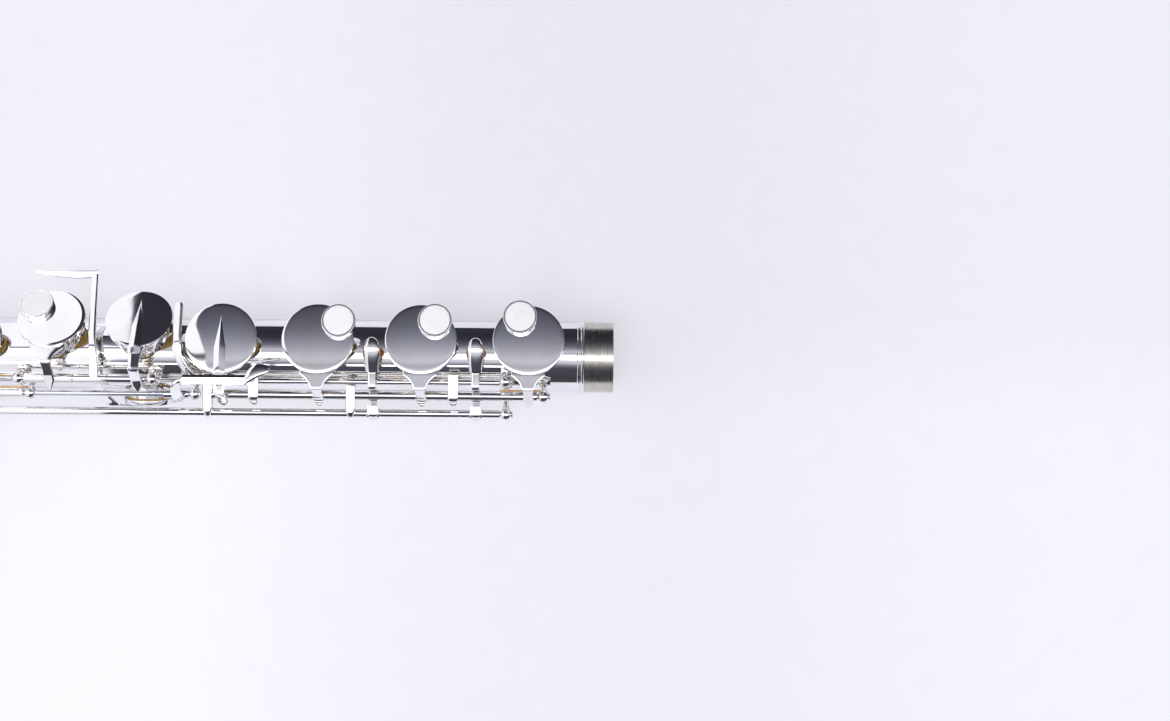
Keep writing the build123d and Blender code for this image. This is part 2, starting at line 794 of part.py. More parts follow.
write("steel_rh", bar(double_f_g - 1, post_foot + 1, steel_radius, polar(*main_line)))
write("steel_c", bar(post_c_head - 1, post_b_flat_c - end_gap, steel_radius, polar(*main_line)))
write("steel_g", bar(post_g_head - 1, post_g_foot + 1, steel_radius, polar(*g_line)))
write("steel_thumb", bar(post_thumb_head - 1, post_thumb_foot + 1, steel_radius, polar(*thumb_line)))

stack = {
    "d": (main_line, (plate_d_e + half_plate, post_foot - half_ball), False, (-3.2, 8.2)),
    "e": (main_line, (double_e_f + half_plate, plate_d_e - half_plate), False, (5.3, 6.6)),
    "f": (main_line, (plate_f_f_sharp + half_plate, double_e_f - half_plate), False, (7.9, 6.2)),
    "f_sharp": (main_line, (double_f_g + half_plate, plate_f_f_sharp - half_plate), True, None),
    "g_lower": (g_line, (g_split_foot + half_gap, post_g_foot - half_ball), True, None),
    "g_upper": (g_line, (post_g_head + half_ball, g_split_head - half_gap), False, (-5.9, 4.9)),
    "a": (main_line, (post_a_b_flat + half_ball, post_a - half_ball), False, (-4.0, 5.0)),
}
for hole, (line, span, ridged, touch) in stack.items():
    pieces = stack_key(hole, line, span, ridged, touch)
    write(f"key_{hole}", pieces[0])
    write(f"pad_{hole}", pieces[1])
    if touch:
        write(f"touch_{hole}", pieces[2])

b_flat = stack_key("b_flat", main_line, (post_b_flat_c + half_ball, post_a_b_flat - half_ball), True)
write("key_b_flat", b_flat[0])
write("pad_b_flat", b_flat[1])
write("lever_b_flat", b_flat_lever())
write("steel_b_flat", bar(post_b_flat_c + end_gap, post_b_flat + 1, steel_radius, polar(*main_line)))

c_span = (post_c_head + half_ball, post_b_flat_c - half_ball)
c_key = stack_key("c", main_line, c_span, False, (-2.0, 2.6))
c_sharp = stack_key("c_sharp", main_line, c_span)
write("key_c", c_key[0] + c_sharp[0])
write("pad_c", c_key[1])
write("pad_c_sharp", c_sharp[1])
write("touch_c", c_key[2])

g_sharp = g_sharp_key()
write("key_g_sharp", g_sharp[0])
write("pad_g_sharp", g_sharp[1])

thumb = thumb_key()
write("key_thumb", thumb[0])
write("pad_thumb", thumb[1])
write("lever_thumb_b_flat", thumb_b_flat_lever())

trill_d = trill_key_d()
write("key_trill_d", trill_d[0])
write("pad_trill_d", trill_d[1])
write("lever_trill_d", trill_d[2])
trill_d_sharp = trill_key_d_sharp()
write("key_trill_d_sharp", trill_d_sharp[0])
write("pad_trill_d_sharp", trill_d_sharp[1])
write("lever_trill_d_sharp", trill_d_sharp[2])
write("rod_trill_d_sharp", trill_d_sharp[3])

write("lever_split_e", split_e_lever())

write("head_tube", head_tube())
write("lip_plate", lip_plate())
write("riser", riser())
write("stopper_cork", stopper_cork())
write("stopper_screw", stopper_screw())
write("crown", crown())
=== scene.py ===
import json
import math
import bmesh
import bpy
import numpy as np
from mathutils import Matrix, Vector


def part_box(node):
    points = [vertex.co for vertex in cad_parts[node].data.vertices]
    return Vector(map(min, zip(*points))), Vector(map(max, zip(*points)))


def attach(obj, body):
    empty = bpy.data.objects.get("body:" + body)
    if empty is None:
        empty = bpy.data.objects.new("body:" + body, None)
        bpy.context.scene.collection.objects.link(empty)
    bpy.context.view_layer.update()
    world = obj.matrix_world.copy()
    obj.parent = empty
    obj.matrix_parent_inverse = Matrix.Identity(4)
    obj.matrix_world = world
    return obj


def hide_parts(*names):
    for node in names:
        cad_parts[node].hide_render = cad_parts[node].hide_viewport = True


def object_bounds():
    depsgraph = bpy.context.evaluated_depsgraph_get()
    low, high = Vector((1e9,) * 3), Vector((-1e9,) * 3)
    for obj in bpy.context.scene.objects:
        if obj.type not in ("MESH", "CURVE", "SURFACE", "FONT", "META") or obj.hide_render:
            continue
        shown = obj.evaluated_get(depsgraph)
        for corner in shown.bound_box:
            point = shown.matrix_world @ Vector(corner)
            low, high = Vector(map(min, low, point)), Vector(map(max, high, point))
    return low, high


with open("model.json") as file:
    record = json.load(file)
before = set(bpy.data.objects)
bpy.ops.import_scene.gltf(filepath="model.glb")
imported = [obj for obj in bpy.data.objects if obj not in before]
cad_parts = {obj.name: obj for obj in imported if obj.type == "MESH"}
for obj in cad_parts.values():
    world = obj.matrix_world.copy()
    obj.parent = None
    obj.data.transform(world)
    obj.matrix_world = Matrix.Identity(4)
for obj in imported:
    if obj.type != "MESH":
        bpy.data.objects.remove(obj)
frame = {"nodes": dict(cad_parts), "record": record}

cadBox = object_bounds()
mm = 0.001
alongTube = np.array([1.0, 0.0, 0.0])
print("frame loaded:", len(frame["nodes"]), "nodes")


# places read from the frame

def nodePoints(node):
    mesh = frame["nodes"][node].data
    flat = np.empty(len(mesh.vertices) * 3)
    mesh.vertices.foreach_get("co", flat)
    return flat.reshape(-1, 3)


def boxOf(node):
    return [np.array(corner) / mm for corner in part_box(node)]


def jointAt(name):
    joint = next(j for j in frame["record"]["behaviour"]["joints"] if j["name"] == name)
    return np.array(joint["pos_m"])


def padSeat(node):
    # a pad is a flat disc: its thinnest direction is the cup's own up, and it is turned away from the bore
    points = nodePoints(node)
    centre = (points.min(0) + points.max(0)) / 2
    spread = np.linalg.svd(points - points.mean(0), full_matrices=False)[2]
    up = spread[2] * np.sign(spread[2] @ np.array([0, centre[1], centre[2]]))
    height = (points - centre) @ up
    far = np.cross(up, alongTube)
    radius = np.abs(points[:, 0] - centre[0]).max()
    return {"at": centre + up * height.min(), "u": alongTube, "v": far, "w": up,
            "radius": radius / mm, "thick": np.ptp(height) / mm}


def localRod(seat, joint):
    # the rod's place in a cup's own plane, in millimetres across (v) and up (w)
    offset = (jointAt(joint) - seat["at"]) / mm
    return offset @ seat["v"], offset @ seat["w"]


def toWorld(points, seat):
    axes = np.stack([seat["u"], seat["v"], seat["w"]])
    return seat["at"] + mm * points @ axes


flute = {"at": np.zeros(3), "u": alongTube, "v": np.array([0, 1.0, 0]), "w": np.array([0, 0, 1.0])}


# surfaces: every one is a grid of points, rows by columns

def turned(profile, segments=64, whole=2 * np.pi):
    # profile rows of (r, h): each point is (r cos a, r sin a, h) for a from 0 to the whole turn
    angle = np.linspace(0, whole, segments + 1)
    r, h = profile[:, :1], profile[:, 1:]
    return np.stack([r * np.cos(angle), r * np.sin(angle), h + 0 * angle], -1)


def turnedAlong(profile, y=0.0, z=0.0, segments=64):
    # the same about a line along X: profile rows of (x, r)
    grid = turned(profile[:, ::-1], segments)
    return np.stack([grid[..., 2], grid[..., 0] + y, grid[..., 1] + z], -1)


def unit(rows):
    return rows / np.linalg.norm(rows, axis=1)[:, None]


def swept(path, side, wide, thick, power=2.5, columns=24):
    # a section carried along a path: point = path + side * wide * c + normal * thick * s,
    # with c and s the signed powers 2/power of cos and sin, so power 2 is an ellipse and more is boxier;
    # both ends close to a point
    path = np.asarray(path, float)
    side = np.broadcast_to(np.asarray(side, float), path.shape)
    wide, thick = [np.broadcast_to(part, len(path)).astype(float) for part in (wide, thick)]
    normal = unit(np.cross(unit(np.gradient(path, axis=0)), side))
    path, side, normal = [np.concatenate([part[:1], part, part[-1:]]) for part in (path, side, normal)]
    wide, thick = [np.concatenate([[0.0], part, [0.0]]) for part in (wide, thick)]
    angle = np.linspace(0, 2 * np.pi, columns + 1)
    c, s = [np.sign(part) * np.abs(part) ** (2 / power) for part in (np.cos(angle), np.sin(angle))]
    return (path[:, None] + side[:, None] * (wide[:, None] * c)[..., None]
            + normal[:, None] * (thick[:, None] * s / 2)[..., None])


def sweptAt(x, path, wide, thick, power, columns):
    # the same for a path of (y, z) rows that lies across the flute, at one x
    line = np.stack([x + 0 * path[:, 0], path[:, 0], path[:, 1]], 1)
    return swept(line, alongTube, wide, thick, power, columns)


def runLength(path):
    # how far along the path each of its points lies
    return np.concatenate([[0], np.cumsum(np.linalg.norm(np.diff(path, axis=0), axis=1))])


def spaced(path, count):
    # the same path in equal steps, with the distance of each point along it
    length = runLength(path)
    wanted = np.linspace(0, length[-1], count)
    return np.stack([np.interp(wanted, length, column) for column in path.T], 1), wanted


def bezier(points, steps=28):
    # a Bezier curve of any degree, by its Bernstein sums
    points = np.asarray(points, float)
    degree = len(points) - 1
    t = np.linspace(0, 1, steps)[:, None]
    weights = np.array([math.comb(degree, k) for k in range(degree + 1)])
    k = np.arange(degree + 1)
    return (weights * t ** k * (1 - t) ** (degree - k)) @ points


def rounded(corners, radius, steps=5):
    # a profile whose corners become arcs: each arc blends a corner's two sides by a quadratic curve
    corners = np.asarray(corners, float)
    rows = [corners[:1]]
    t = np.linspace(0, 1, steps)[:, None]
    for before, corner, after in zip(corners[:-2], corners[1:-1], corners[2:]):
        back, ahead = before - corner, after - corner
        reach = min(radius, np.linalg.norm(back) / 2.1, np.linalg.norm(ahead) / 2.1)
        start = corner + back / np.linalg.norm(back) * reach
        end = corner + ahead / np.linalg.norm(ahead) * reach
        rows.append((1 - t) ** 2 * start + 2 * t * (1 - t) * corner + t ** 2 * end)
    rows.append(corners[-1:])
    return np.concatenate(rows)


def joinGrids(name, surfaces, sharp=34):
    # joins grids into one mesh: seams and poles close where points meet, and faces turn outwards
    corners, quads, slots, materials = [], [], [], []
    count = 0
    for grid, material in surfaces:
        if material not in materials:
            materials.append(material)
        rows, columns = grid.shape[:2]
        i, j = np.meshgrid(np.arange(rows - 1), np.arange(columns - 1), indexing="ij")
        first = (count + i * columns + j).reshape(-1)
        quads.append(np.stack([first, first + 1, first + columns + 1, first + columns], 1))
        slots.append(np.full(len(first), materials.index(material)))
        corners.append(grid.reshape(-1, 3))
        count += rows * columns
    corners, quads, slots = np.concatenate(corners), np.concatenate(quads), np.concatenate(slots)
    mesh = bpy.data.meshes.new(name)
    mesh.from_pydata(corners.tolist(), [], quads.tolist())
    mesh.polygons.foreach_set("material_index", slots.astype(np.int32))
    for material in materials:
        mesh.materials.append(material)
    shell = bmesh.new()
    shell.from_mesh(mesh)
    bmesh.ops.remove_doubles(shell, verts=shell.verts, dist=1.5e-6)
    bmesh.ops.dissolve_degenerate(shell, edges=shell.edges, dist=1e-7)
    bmesh.ops.recalc_face_normals(shell, faces=shell.faces)
    shell.to_mesh(mesh)
    shell.free()
    mesh.shade_smooth()
    mesh.set_sharp_from_angle(angle=math.radians(sharp))
    return addObject(name, mesh)


def dressed(grids, seat, material):
    # grids in a seat's own millimetres, each with its material, as joinGrids takes them
    return [(toWorld(grid, seat), material) for grid in grids]


def addObject(name, data):
    added = bpy.data.objects.new(name, data)
    bpy.context.collection.objects.link(added)
    return added


def makePiece(name, surfaces, body, replaced=()):
    piece = joinGrids(name, surfaces)
    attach(piece, body)
    if replaced:
        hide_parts(*replaced)
    return piece


# materials

def linear(code):
    # an sRGB hex value to the linear colour that shaders take
    part = np.array([int(code[k:k + 2], 16) for k in (0, 2, 4)]) / 255
    low, high = part / 12.92, ((part + 0.055) / 1.055) ** 2.4
    return (*np.where(part <= 0.04045, low, high), 1.0)


def setInputs(tree, node, links):
    # each input takes (node, output) or a plain value
    for key, value in links.items():
        if isinstance(value, tuple) and len(value) == 2 and hasattr(value[0], "outputs"):
            tree.links.new(value[0].outputs[value[1]], node.inputs[key])
        else:
            node.inputs[key].default_value = value


def addNode(tree, kind, settings=None, links=None):
    node = tree.nodes.new(kind)
    for key, value in (settings or {}).items():
        setattr(node, key, value)
    setInputs(tree, node, links or {})
    return node


# each of these gives the output that the next node takes

def mathNode(tree, operation, first, second):
    return addNode(tree, "ShaderNodeMath", {"operation": operation}, {0: first, 1: second}), 0


def remapped(tree, value, ends, results, settings=None):
    # results are taken smoothly between the two ends
    links = {"Value": value, "From Min": ends[0], "From Max": ends[1], "To Min": results[0],
             "To Max": results[1]}
    return addNode(tree, "ShaderNodeMapRange", settings or {"interpolation_type": "SMOOTHSTEP"}, links), 0


def multiplied(tree, first, second):
    # two colours multiplied
    settings = {"data_type": "RGBA", "blend_type": "MULTIPLY"}
    return addNode(tree, "ShaderNodeMix", settings, {0: 1.0, 6: first, 7: second}), 2


def grain(tree, place, size, links=None, kind="ShaderNodeTexNoise", output="Fac"):
    # a pattern whose grains are about size millimetres across
    return addNode(tree, kind, links={"Vector": place, "Scale": 1 / (size * mm), **(links or {})}), output


def bumps(tree, height, strength, deep):
    # bumps at most deep millimetres high
    links = {"Height": height, "Strength": strength, "Distance": deep * mm}
    return addNode(tree, "ShaderNodeBump", links=links), "Normal"


def grey(value):
    return (value, value, value, 1.0)


def ramp(tree, source, stops):
    # a stop's colour is a hex value, a grey level or a ready colour
    node = addNode(tree, "ShaderNodeValToRGB", links={"Fac": source})
    while len(node.color_ramp.elements) < len(stops):
        node.color_ramp.elements.new(0.5)
    for element, (place, colour) in zip(node.color_ramp.elements, stops):
        ready = linear(colour) if isinstance(colour, str) else colour
        element.position = place
        element.color = ready if isinstance(ready, tuple) else grey(ready)
    return node, "Color"


def newMaterial(name):
    # a material with its tree, and the place of a point in its own object
    material = bpy.data.materials.new(name)
    material.use_nodes = True
    return material, material.node_tree, (addNode(material.node_tree, "ShaderNodeTexCoord"), "Object")


def finished(material, inputs):
    setInputs(material.node_tree, material.node_tree.nodes["Principled BSDF"], inputs)
    return material


silverPlateLook = {"colour": "F6F5F4", "tarnish": "EFEAE2", "roughness": 0.045, "hazeSize": 14.0,
                   "wavelength": 9.0, "waveHeight": 0.010}


def silverPlate():
    # silver plate over nickel silver, buffed to a mirror: near white, very sharp reflections, a breath of
    # haze where it has been handled, and a faint slow waviness left by the buffing wheel
    look = silverPlateLook
    material, tree, place = newMaterial("buffedSilverPlate")
    haze = grain(tree, place, look["hazeSize"], {"Detail": 4.0, "Roughness": 0.55})
    tint = ramp(tree, haze, [(0.42, look["colour"]), (0.78, look["tarnish"])])
    gloss = ramp(tree, haze, [(0.40, look["roughness"]), (0.80, look["roughness"] + 0.05)])
    wave = grain(tree, place, look["wavelength"], {"Detail": 1.0})
    bump = bumps(tree, wave, 0.6, look["waveHeight"])
    return finished(material, {"Metallic": 1.0, "Base Color": tint, "Roughness": gloss, "Normal": bump})


brushedNickelLook = {"colour": "D8D3C8", "dark": "C2BCAE", "lineSpacing": 0.16, "stainSize": 3.2,
                     "roughness": 0.17, "lineHeight": 0.003}


def brushedNickel():
    # bare nickel silver, brushed round the bore on a lathe: warm grey, with fine rings that blur what it
    # reflects
    look = brushedNickelLook
    material, tree, place = newMaterial("latheBrushedNickelSilver")
    rings = addNode(tree, "ShaderNodeMapping", links={"Vector": place, "Scale": (1.0, 0.02, 0.02)})
    line = grain(tree, (rings, "Vector"), look["lineSpacing"], {"Detail": 3.0, "Roughness": 0.7})
    stain = grain(tree, place, look["stainSize"], {"Detail": 4.0})
    half = mathNode(tree, "MULTIPLY", mathNode(tree, "ADD", line, stain), 0.5)
    tint = ramp(tree, half, [(0.36, look["dark"]), (0.60, look["colour"])])
    gloss = ramp(tree, line, [(0.3, look["roughness"]), (0.7, look["roughness"] + 0.14)])
    bump = bumps(tree, line, 0.8, look["lineHeight"])
    return finished(material, {"Metallic": 1.0, "Base Color": tint, "Roughness": gloss, "Normal": bump})


def plainMetal(name, size, tints, glosses):
    # a metal clouded in patches about size millimetres across
    material, tree, place = newMaterial(name)
    cloud = grain(tree, place, size, {"Detail": 2.0})
    tint, gloss = ramp(tree, cloud, tints), ramp(tree, cloud, glosses)
    return finished(material, {"Metallic": 1.0, "Base Color": tint, "Roughness": gloss})


def groundSteel():
    # ground stainless pivot steel: a cooler grey than the plate, clouded in fine patches
    return plainMetal("groundStainlessSteel", 0.5, [(0.3, "C9CCD0"), (0.7, "DDDFE2")],
                      [(0.3, 0.12), (0.7, 0.2)])


def goldSpring():
    # phosphor bronze spring wire with a gold tone
    return plainMetal("drawnBronzeWire", 0.8, [(0.3, "C99A3F"), (0.7, "E6C172")], [(0.3, 0.22), (0.7, 0.22)])


padSkinLook = {"colour": "E6BF6E", "deep": "CB9C4C", "wrinkle": 0.9, "weave": 0.12, "bump": 0.08,
               "bleed": (0.002, 0.001, 0.0005)}


def padSkin():
    # goldbeater's skin drawn over woven felt: golden yellow, slightly glossy, with small puckers
    look = padSkinLook
    material, tree, place = newMaterial("yellowPadSkin")
    pucker = grain(tree, place, look["wrinkle"], {"Detail": 3.0})
    weave = grain(tree, place, look["weave"])
    tint = ramp(tree, pucker, [(0.32, look["deep"]), (0.62, look["colour"])])
    both = mathNode(tree, "ADD", pucker, weave)
    bump = bumps(tree, both, 0.5, look["bump"])
    return finished(material, {"Roughness": 0.38, "Subsurface Weight": 0.15, "Subsurface Radius": look["bleed"],
                               "Base Color": tint, "Normal": bump})


def whiteInlay():
    # white mother-of-pearl style inlay, lapped smooth: white with slow cloudy bands under a clear gloss
    material, tree, place = newMaterial("lappedWhiteInlay")
    cloud = grain(tree, place, 6.0, {"Detail": 3.0, "Distortion": 0.8})
    tint = ramp(tree, cloud, [(0.30, "F2F0EE"), (0.55, "F7F5F2"), (0.75, "F8F5ED")])
    return finished(material, {"Roughness": 0.28, "Coat Weight": 0.25, "Coat Roughness": 0.08,
                               "Base Color": tint})


def fineCork():
    # agglomerated cork: warm brown grains with dark specks between them
    material, tree, place = newMaterial("sandedFineCork")
    cells = grain(tree, place, 0.45, kind="ShaderNodeTexVoronoi", output="Distance")
    tint = ramp(tree, cells, [(0.05, "B5703F"), (0.45, "C98A55"), (0.8, "7A4524")])
    bump = bumps(tree, cells, 0.5, 0.05)
    return finished(material, {"Roughness": 0.75, "Base Color": tint, "Normal": bump})


silver, nickel, steel = silverPlate(), brushedNickel(), groundSteel()
bronze, skin, inlay, cork = goldSpring(), padSkin(), whiteInlay(), fineCork()
slotMaterial = {"silver_plate": silver, "nickel_tenon": nickel, "steel_rod": steel, "spring_gold": bronze,
                "pad_skin": skin, "touch_white": inlay, "stopper_cork": cork}
for row in frame["record"]["subparts"]:
    node = frame["nodes"][row["node"]]
    for place in range(len(node.material_slots)):
        node.material_slots[place].material = slotMaterial[row["material_slot"]]
print("materials ready")


# cups, pads and touches

cupLook = {"top": 3.0, "dome": 1.08, "roll": 0.15, "wall": 0.55, "skirt": -0.2, "edge": 0.28, "level": 1.0,
           "ceiling": 1.3, "segments": 112, "overPad": 0.62}


def cupSurface(radius, key=None):
    # the cup's top falls as dome * p^2 + roll * p^26, where p is the share of the radius, so it is a shallow
    # dome with a turned down rim; it is lifted again by dome * (1 - level) * (x / radius)^2, which makes the
    # dome a little flatter along the flute than across it
    look = {**cupLook, **(key or {})}
    p = np.concatenate([np.linspace(0, 0.7, 12), np.linspace(0.73, 0.988, 20)])
    fall = look["dome"] * p ** 2 + look["roll"] * p ** 26
    crown = np.stack([p * radius, look["top"] - fall], 1)
    shoulder = look["top"] - look["dome"] - look["roll"]
    inside = radius - look["wall"]
    edge = rounded([crown[-1], (radius, shoulder), (radius, look["skirt"]), (inside, look["skirt"]),
                    (inside, look["ceiling"]), (0.0, look["ceiling"])], look["edge"])
    grid = turned(np.concatenate([crown[:-1], edge]), look["segments"])
    grid[..., 2] += look["dome"] * (1 - look["level"]) * (grid[..., 0] / radius) ** 2
    return grid


padLook = {"thick": 1.25, "ease": 0.5, "hidden": 0.5}


def padSurface(radius):
    # a soft disc with rolled edges, pressed up into its cup
    thick = padLook["thick"]
    corners = [(0.0, 0.0), (radius - 1.6, 0.0), (radius - 0.1, 0.0), (radius, 0.6), (radius, thick),
               (0.0, thick)]
    return turned(rounded(corners, padLook["ease"], 6), 72)


touchLook = {"radius": 6.35, "height": 2.7, "lip": 0.85, "inlay": 0.35, "dome": 0.12, "sink": 0.25}


def touchSurfaces(at, base):
    # a short round holder with a thin lip, and its inlay, a very shallow dome
    look = touchLook
    top = base + look["height"]
    inner = look["radius"] - look["lip"]
    holder = rounded([(0.0, base - 0.3), (look["radius"] - 0.25, base - 0.3), (look["radius"], base + 0.4),
                      (look["radius"], top - 0.3), (look["radius"] - 0.18, top), (inner, top),
                      (inner, top - look["inlay"]), (0.0, top - look["inlay"])], 0.12)
    r = np.linspace(0, inner - 0.03, 10)
    disc = np.stack([r, top - 0.05 + look["dome"] * (1 - (r / inner) ** 2)], 1)
    disc = np.concatenate([disc, [(inner - 0.03, top - look["inlay"]), (0.0, top - look["inlay"])]])
    shift = np.array([at[0], at[1], 0.0])
    return turned(holder, 72) + shift, turned(disc, 64) + shift


webLook = {"wide": 6.3, "waist": 1.7, "hub": 2.1, "thick": 1.3, "flat": 5.4, "drop": 0.65, "fall": 2.7,
           "crease": 0.3, "share": 0.55, "power": 1.25, "swell": 5.5, "spread": 2.2}


def webArm(radius, rod, side):
    # a flat web that leaves the cup level and narrows as a falling exponential, then bends down to a spade
    # over the rod, whose half width swells as a bell curve and closes to a point below the rod
    look = webLook
    v, w = abs(rod[0]), rod[1]
    bend = radius + look["flat"]
    path = rounded([(0.7 * radius, 1.15), (radius, 1.1), (bend, look["drop"]), (bend + 1.6, w + 2.6),
                    (v + 3.3, w - 3.9)], look["crease"], 8)
    path, wanted = spaced(path, 64)
    edge = np.interp(radius, path[:, 0], wanted)
    tip = wanted[-1] - wanted
    widest = min(look["wide"], radius * look["share"])
    narrowing = np.exp(-(np.maximum(wanted - edge, 0) / look["fall"]) ** look["power"])
    wide = look["waist"] + (widest - look["waist"]) * narrowing
    wide = wide + (look["hub"] - look["waist"]) * np.exp(-((tip - look["swell"]) / look["spread"]) ** 2)
    wide = wide * np.clip(tip / 5.0, 0, 1) ** 0.7
    thick = look["thick"] * np.clip(tip / 0.8, 0.15, 1)
    return sweptAt(0.0, path * (-side, 1), wide, thick, 6.0, 36)


ridgeLook = {"wide": 2.25, "high": 1.35, "hub": 2.0, "thick": 1.5, "far": 0.68, "start": 0.06, "sink": 0.12,
             "deep": 0.9}


def ridgeArm(radius, rod, side, dome):
    # the pointed arm: a narrow roof that starts at a point on the cup's far side, runs over the cup following
    # its dome and off the near edge, and a web that bends down to the rod and ends in a point
    look = ridgeLook
    v, w = abs(rod[0]), rod[1]
    across = np.linspace(-look["far"] * radius, radius + 2.6, 40)
    surface = cupLook["top"] - dome * np.clip(np.abs(across) / radius, 0, 1) ** 2
    surface = surface - 0.55 * np.clip(across - radius, 0, 9)
    t = np.clip((across + look["far"] * radius) / (0.95 * radius), 0, 1)
    half = look["start"] + (look["wide"] - look["start"]) * t ** 1.15
    high = 0.1 + (look["high"] - 0.1) * t ** 0.8
    a = np.linspace(-1, 1, 15)
    roof = high[:, None] * (1 - np.abs(a)) ** 0.9
    flat, away = half[:, None] * a, -side * (across[:, None] + 0 * a)
    top = np.stack([flat, away, surface[:, None] - look["sink"] + roof], -1)
    under = np.stack([flat, away, surface[:, None] - look["deep"] + 0 * a], -1)
    shell = np.concatenate([top, under[:, ::-1], top[:, :1]], 1)
    first, last = shell[:1].mean(1, keepdims=True), shell[-1:].mean(1, keepdims=True)
    shell = np.concatenate([first + 0 * shell[:1], shell, last + 0 * shell[-1:]])
    path = rounded([(0.8 * radius, 1.4), (radius + 1.0, 1.3), (v + 1.5, 0.2), (v + 2.0, w + 2.4),
                    (v + 3.2, w - 3.9)], webLook["crease"], 8)
    path, wanted = spaced(path, 56)
    tip = wanted[-1] - wanted
    wide = look["hub"] + (look["wide"] + 1.1 - look["hub"]) * np.exp(-(wanted / 5.0) ** 2)
    wide = wide * np.clip(tip / 3.2, 0, 1) ** 0.65
    thick = look["thick"] * np.clip(tip / 0.8, 0.15, 1)
    return [shell, sweptAt(0.0, path * (-side, 1), wide, thick, 3.0, 28)]


tubeLook = {"radius": 1.75, "near": 1.9, "ease": 0.12}


def nearRod(points, rod, reach):
    return np.hypot(points[:, 1] - rod[1], points[:, 2] - rod[2]) < reach


def tubeSpan(node, joint):
    # the hinge tube's ends: the node's points that lie near the rod line
    points = nodePoints(node)
    near = nearRod(points, jointAt(joint), tubeLook["near"] * mm)
    return points[near, 0].min() / mm, points[near, 0].max() / mm


def hingeTube(node, joint, radius=tubeLook["radius"]):
    # a plain tube with eased ends, as long as the node's own
    ease = tubeLook["ease"]
    start, end = tubeSpan(node, joint)
    corners = [(start, 0.0), (start, radius - ease), (start + ease, radius), (end - ease, radius),
               (end, radius - ease), (end, 0.0)]
    return turnedAlong(np.array(corners), *(jointAt(joint) / mm)[1:], 40)


keys = {
    "d": {"joint": "d_press", "body": "d_key", "touch": (-3.2, 8.2), "cup": {"level": 0.8}},
    "e": {"joint": "e_press", "body": "e_key", "touch": (5.3, 6.6), "cup": {"level": 0.72}},
    "f": {"joint": "f_press", "body": "f_key", "touch": (7.9, 6.2), "cup": {"level": 0.77}},
    "f_sharp": {"joint": "f_sharp_press", "body": "f_sharp_key", "ridge": True},
    "g_lower": {"joint": "g_lower_press", "body": "g_lower_key", "ridge": True, "hidden": 0.0,
                "cup": {"dome": 0.12, "skirt": 0.5}},
    "g_upper": {"joint": "g_upper_press", "body": "g_upper_key", "touch": (-5.9, 4.9), "hidden": 0.0,
                "cup": {"dome": 0.12, "skirt": 0.5}},
    "a": {"joint": "a_press", "body": "a_key", "touch": (-4.0, 5.0)},
    "b_flat": {"joint": "b_flat_press", "body": "b_flat_key", "ridge": True},
    "c": {"joint": "c_press", "body": "c_key", "touch": (-2.0, 2.6)},
}


for hole, key in keys.items():
    joint, body = key["joint"], key["body"]
    seat = padSeat("pad_" + hole)
    radius = seat["radius"] + cupLook["overPad"]
    rod = localRod(seat, joint)
    side = -np.sign(rod[0])
    grids = [cupSurface(radius, key.get("cup"))]
    if key.get("ridge"):
        grids += ridgeArm(radius, rod, side, key.get("cup", cupLook).get("dome", cupLook["dome"]))
    else:
        grids.append(webArm(radius, rod, side))
    surfaces = dressed(grids, seat, silver)
    surfaces += dressed([hingeTube("key_" + hole, joint)], flute, silver)
    if hole == "c":
        small = padSeat("pad_c_sharp")
        smallRadius = small["radius"] + cupLook["overPad"]
        smallArm = webArm(smallRadius, localRod(small, joint), side)
        surfaces += dressed([cupSurface(smallRadius), smallArm], small, silver)
        makePiece("skin_c_sharp", dressed([padSurface(small["radius"])], small, skin), body, ["pad_c_sharp"])
    if "touch" in key:
        holder, disc = touchSurfaces(key["touch"], cupLook["top"] - touchLook["sink"])
        surfaces += dressed([holder], seat, silver)
        makePiece("inlay_" + hole, dressed([disc], seat, inlay), body, ["touch_" + hole])
    makePiece("cup_" + hole, surfaces, body, ["key_" + hole])
    hidden = key.get("hidden", padLook["hidden"])
    makePiece("skin_" + hole, dressed([padSurface(seat["radius"] - hidden)], seat, skin), body, ["pad_" + hole])
print("stack keys made")


# posts, steels and the fittings of the body

mainRod, gRod = jointAt("d_press") / mm, jointAt("g_lower_press") / mm
trillRod, thumbRod = jointAt("trill_d_press") / mm, jointAt("thumb_press") / mm
counterRod = jointAt("split_e_press") / mm
ringRadius = np.hypot(*nodePoints("foot_ring").T[1:]).min() / mm
ribRadius = np.hypot(*nodePoints("rib").T[1:]).max() / mm


def stationsOn(node, rod, reach):
    # where the node's solids stand along a rod: points near the rod, split wherever the next is far away
    points = nodePoints(node) / mm
    along = np.sort(points[nearRod(points, rod, reach), 0])
    groups = np.split(along, np.where(np.diff(along) > 4.0)[0] + 1)
    return [(group[0] + group[-1]) / 2 for group in groups]


def outFrom(x, rod):
    # the frame of a post: w points from the bore axis to the rod
    w = np.array([0, rod[1], rod[2]]) / np.hypot(rod[1], rod[2])
    return {"at": np.array([x, 0, 0]) * mm, "u": alongTube, "v": np.cross(w, alongTube), "w": w}


postLook = {"foot": [(0.0, -0.3), (2.25, -0.3), (2.25, 0.35), (1.95, 0.6), (1.55, 0.75)],
            "collar": [(1.45, 0.15), (1.45, 0.5), (1.25, 0.65)], "footHigh": 1.2, "collarHigh": 2.6,
            "thickest": 1.25, "waist": 0.3, "ball": 2.35, "reach": 2.3, "screw": 1.15, "screwAt": 2.05,
            "screwHigh": 0.5, "slot": 0.3, "ribFrom": 33, "ribTo": 66}


